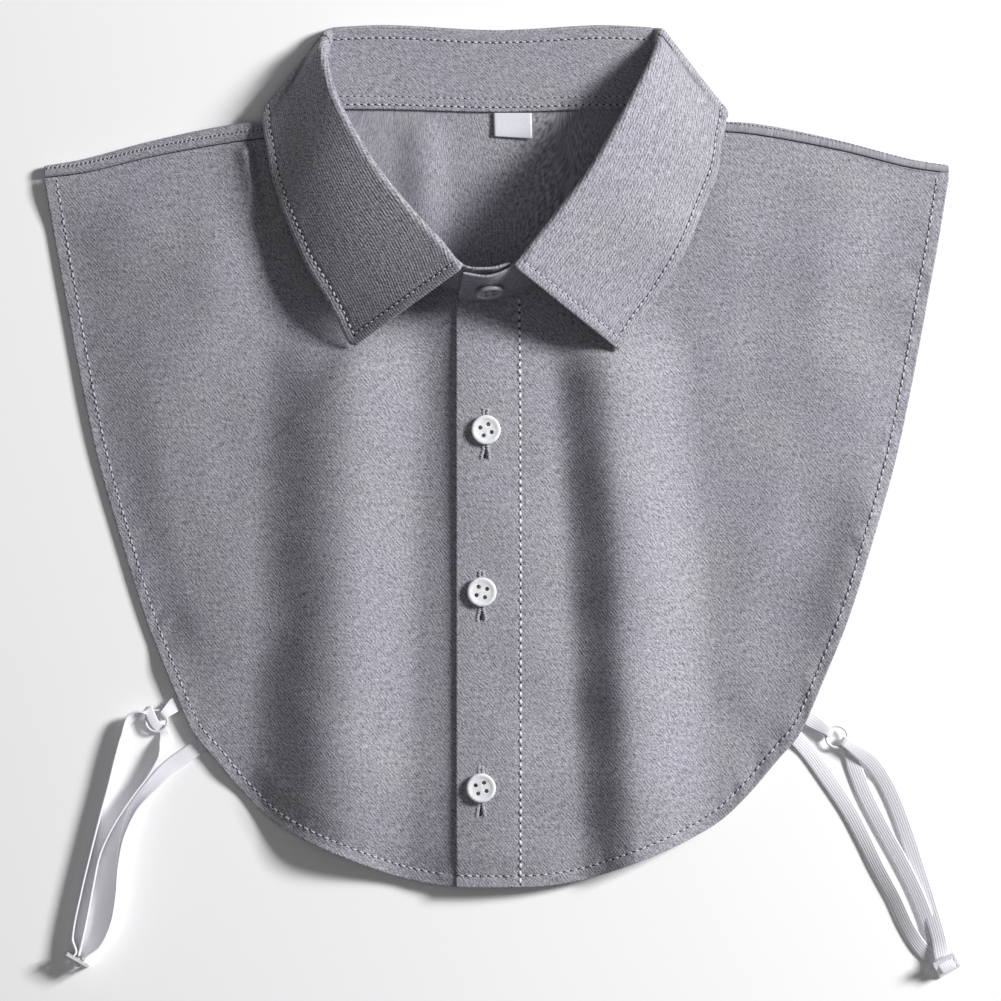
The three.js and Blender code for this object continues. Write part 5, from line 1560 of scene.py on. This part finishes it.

# %% [markdown]
# ## Put the cloth on the model
# Each cloth piece takes the place of its plain solid. The
# stitch rows go with the cloth that they are sewn to.

def declare(piece, key, finish, node):
    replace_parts(wear(piece, finish), node)
    rows = [wear(row, row["finish"]) for row in stitch_rows.get(key, [])]
    print(f"{piece.name} stands for {node}, with {len(rows)} pieces of stitching")


declare(front_right, "front_right", "cloth", "front_panel_right")
declare(front_left, "front_left", "cloth", "front_panel_left")
declare(back, "back", "cloth", "back_panel")
declare(stand, "stand", "cloth", "collar_stand")
declare(leaf, "leaf", "leaf cloth", "collar_leaf")
declare(label, "label", "label", "size_label")

# %% [markdown]
# ## Floor
# The floor is one large pale face, 0.3 mm under the plane that the part rests on. It is
# dull, so it shows the soft shadows of hem and straps and no shine of its own.

# %% Floor
floor_mesh = bpy.data.meshes.new("floor")
floor_mesh.from_pydata([(-3, -3, -0.0003), (3, -3, -0.0003), (3, 3, -0.0003), (-3, 3, -0.0003)],
                       [], [[0, 1, 2, 3]])
floor = bpy.data.objects.new("floor", floor_mesh)
bpy.context.scene.collection.objects.link(floor)
paper = Shader("pale_floor")
floor_mesh.materials.append(paper.finish(Base_Color=(0.97, 0.97, 0.975, 1.0), Roughness=0.9))
print("floor at", round(floor_mesh.vertices[0].co.z / MM, 2), "mm")

# %% [markdown]
# ## Light
# One soft lamp stands low at the right, near enough that the left side gets less of it, so
# every fold has a bright and a dark slope. A weak lamp overhead and a faint sky fill the
# shadows.

# %% Light
middle = Vector(((1.62 + shift[0]) * MM, (156.9 + shift[1]) * MM, 0.008))


def lamp(name, place, size, power):
    light = bpy.data.lights.new(name, "AREA")
    light.shape, light.size, light.energy = "SQUARE", size, power
    thing = bpy.data.objects.new(name, light)
    bpy.context.scene.collection.objects.link(thing)
    thing.location = middle + Vector(place)
    thing.rotation_euler = (-Vector(place)).to_track_quat("-Z", "Y").to_euler()


KEY_POWER, FILL_POWER, SKY_STRENGTH = 92.0, 3.6, 0.085
lamp("key", (1.93, 0.77, 1.32), 0.60, KEY_POWER)
lamp("fill", (-0.3, -0.2, 1.9), 1.6, FILL_POWER)
world = bpy.data.worlds.new("studio")
bpy.context.scene.world = world
world.use_nodes = True
world.node_tree.nodes["Background"].inputs["Color"].default_value = (0.98, 0.98, 1.0, 1.0)
world.node_tree.nodes["Background"].inputs["Strength"].default_value = SKY_STRENGTH
bpy.context.scene.view_settings.view_transform = "Standard"
print("light in watts: key", KEY_POWER, "fill", FILL_POWER, "- sky strength", SKY_STRENGTH)

# %% [markdown]
# ## Camera
# The camera looks straight down from far away with a long lens, so that the edges of the
# cloth don't lean away from it.

# %% Camera
VIEW_WIDTH, VIEW_DISTANCE = 0.4054, 3.0
camera = bpy.data.cameras.new("camera")
camera.sensor_width = 36.0
camera.lens = 36.0 * VIEW_DISTANCE / VIEW_WIDTH
camera.clip_end = 20.0
viewer = bpy.data.objects.new("camera", camera)
bpy.context.scene.collection.objects.link(viewer)
viewer.location = middle + Vector((0, 0, VIEW_DISTANCE))
bpy.context.scene.camera = viewer
print("lens, mm:", round(camera.lens, 1))
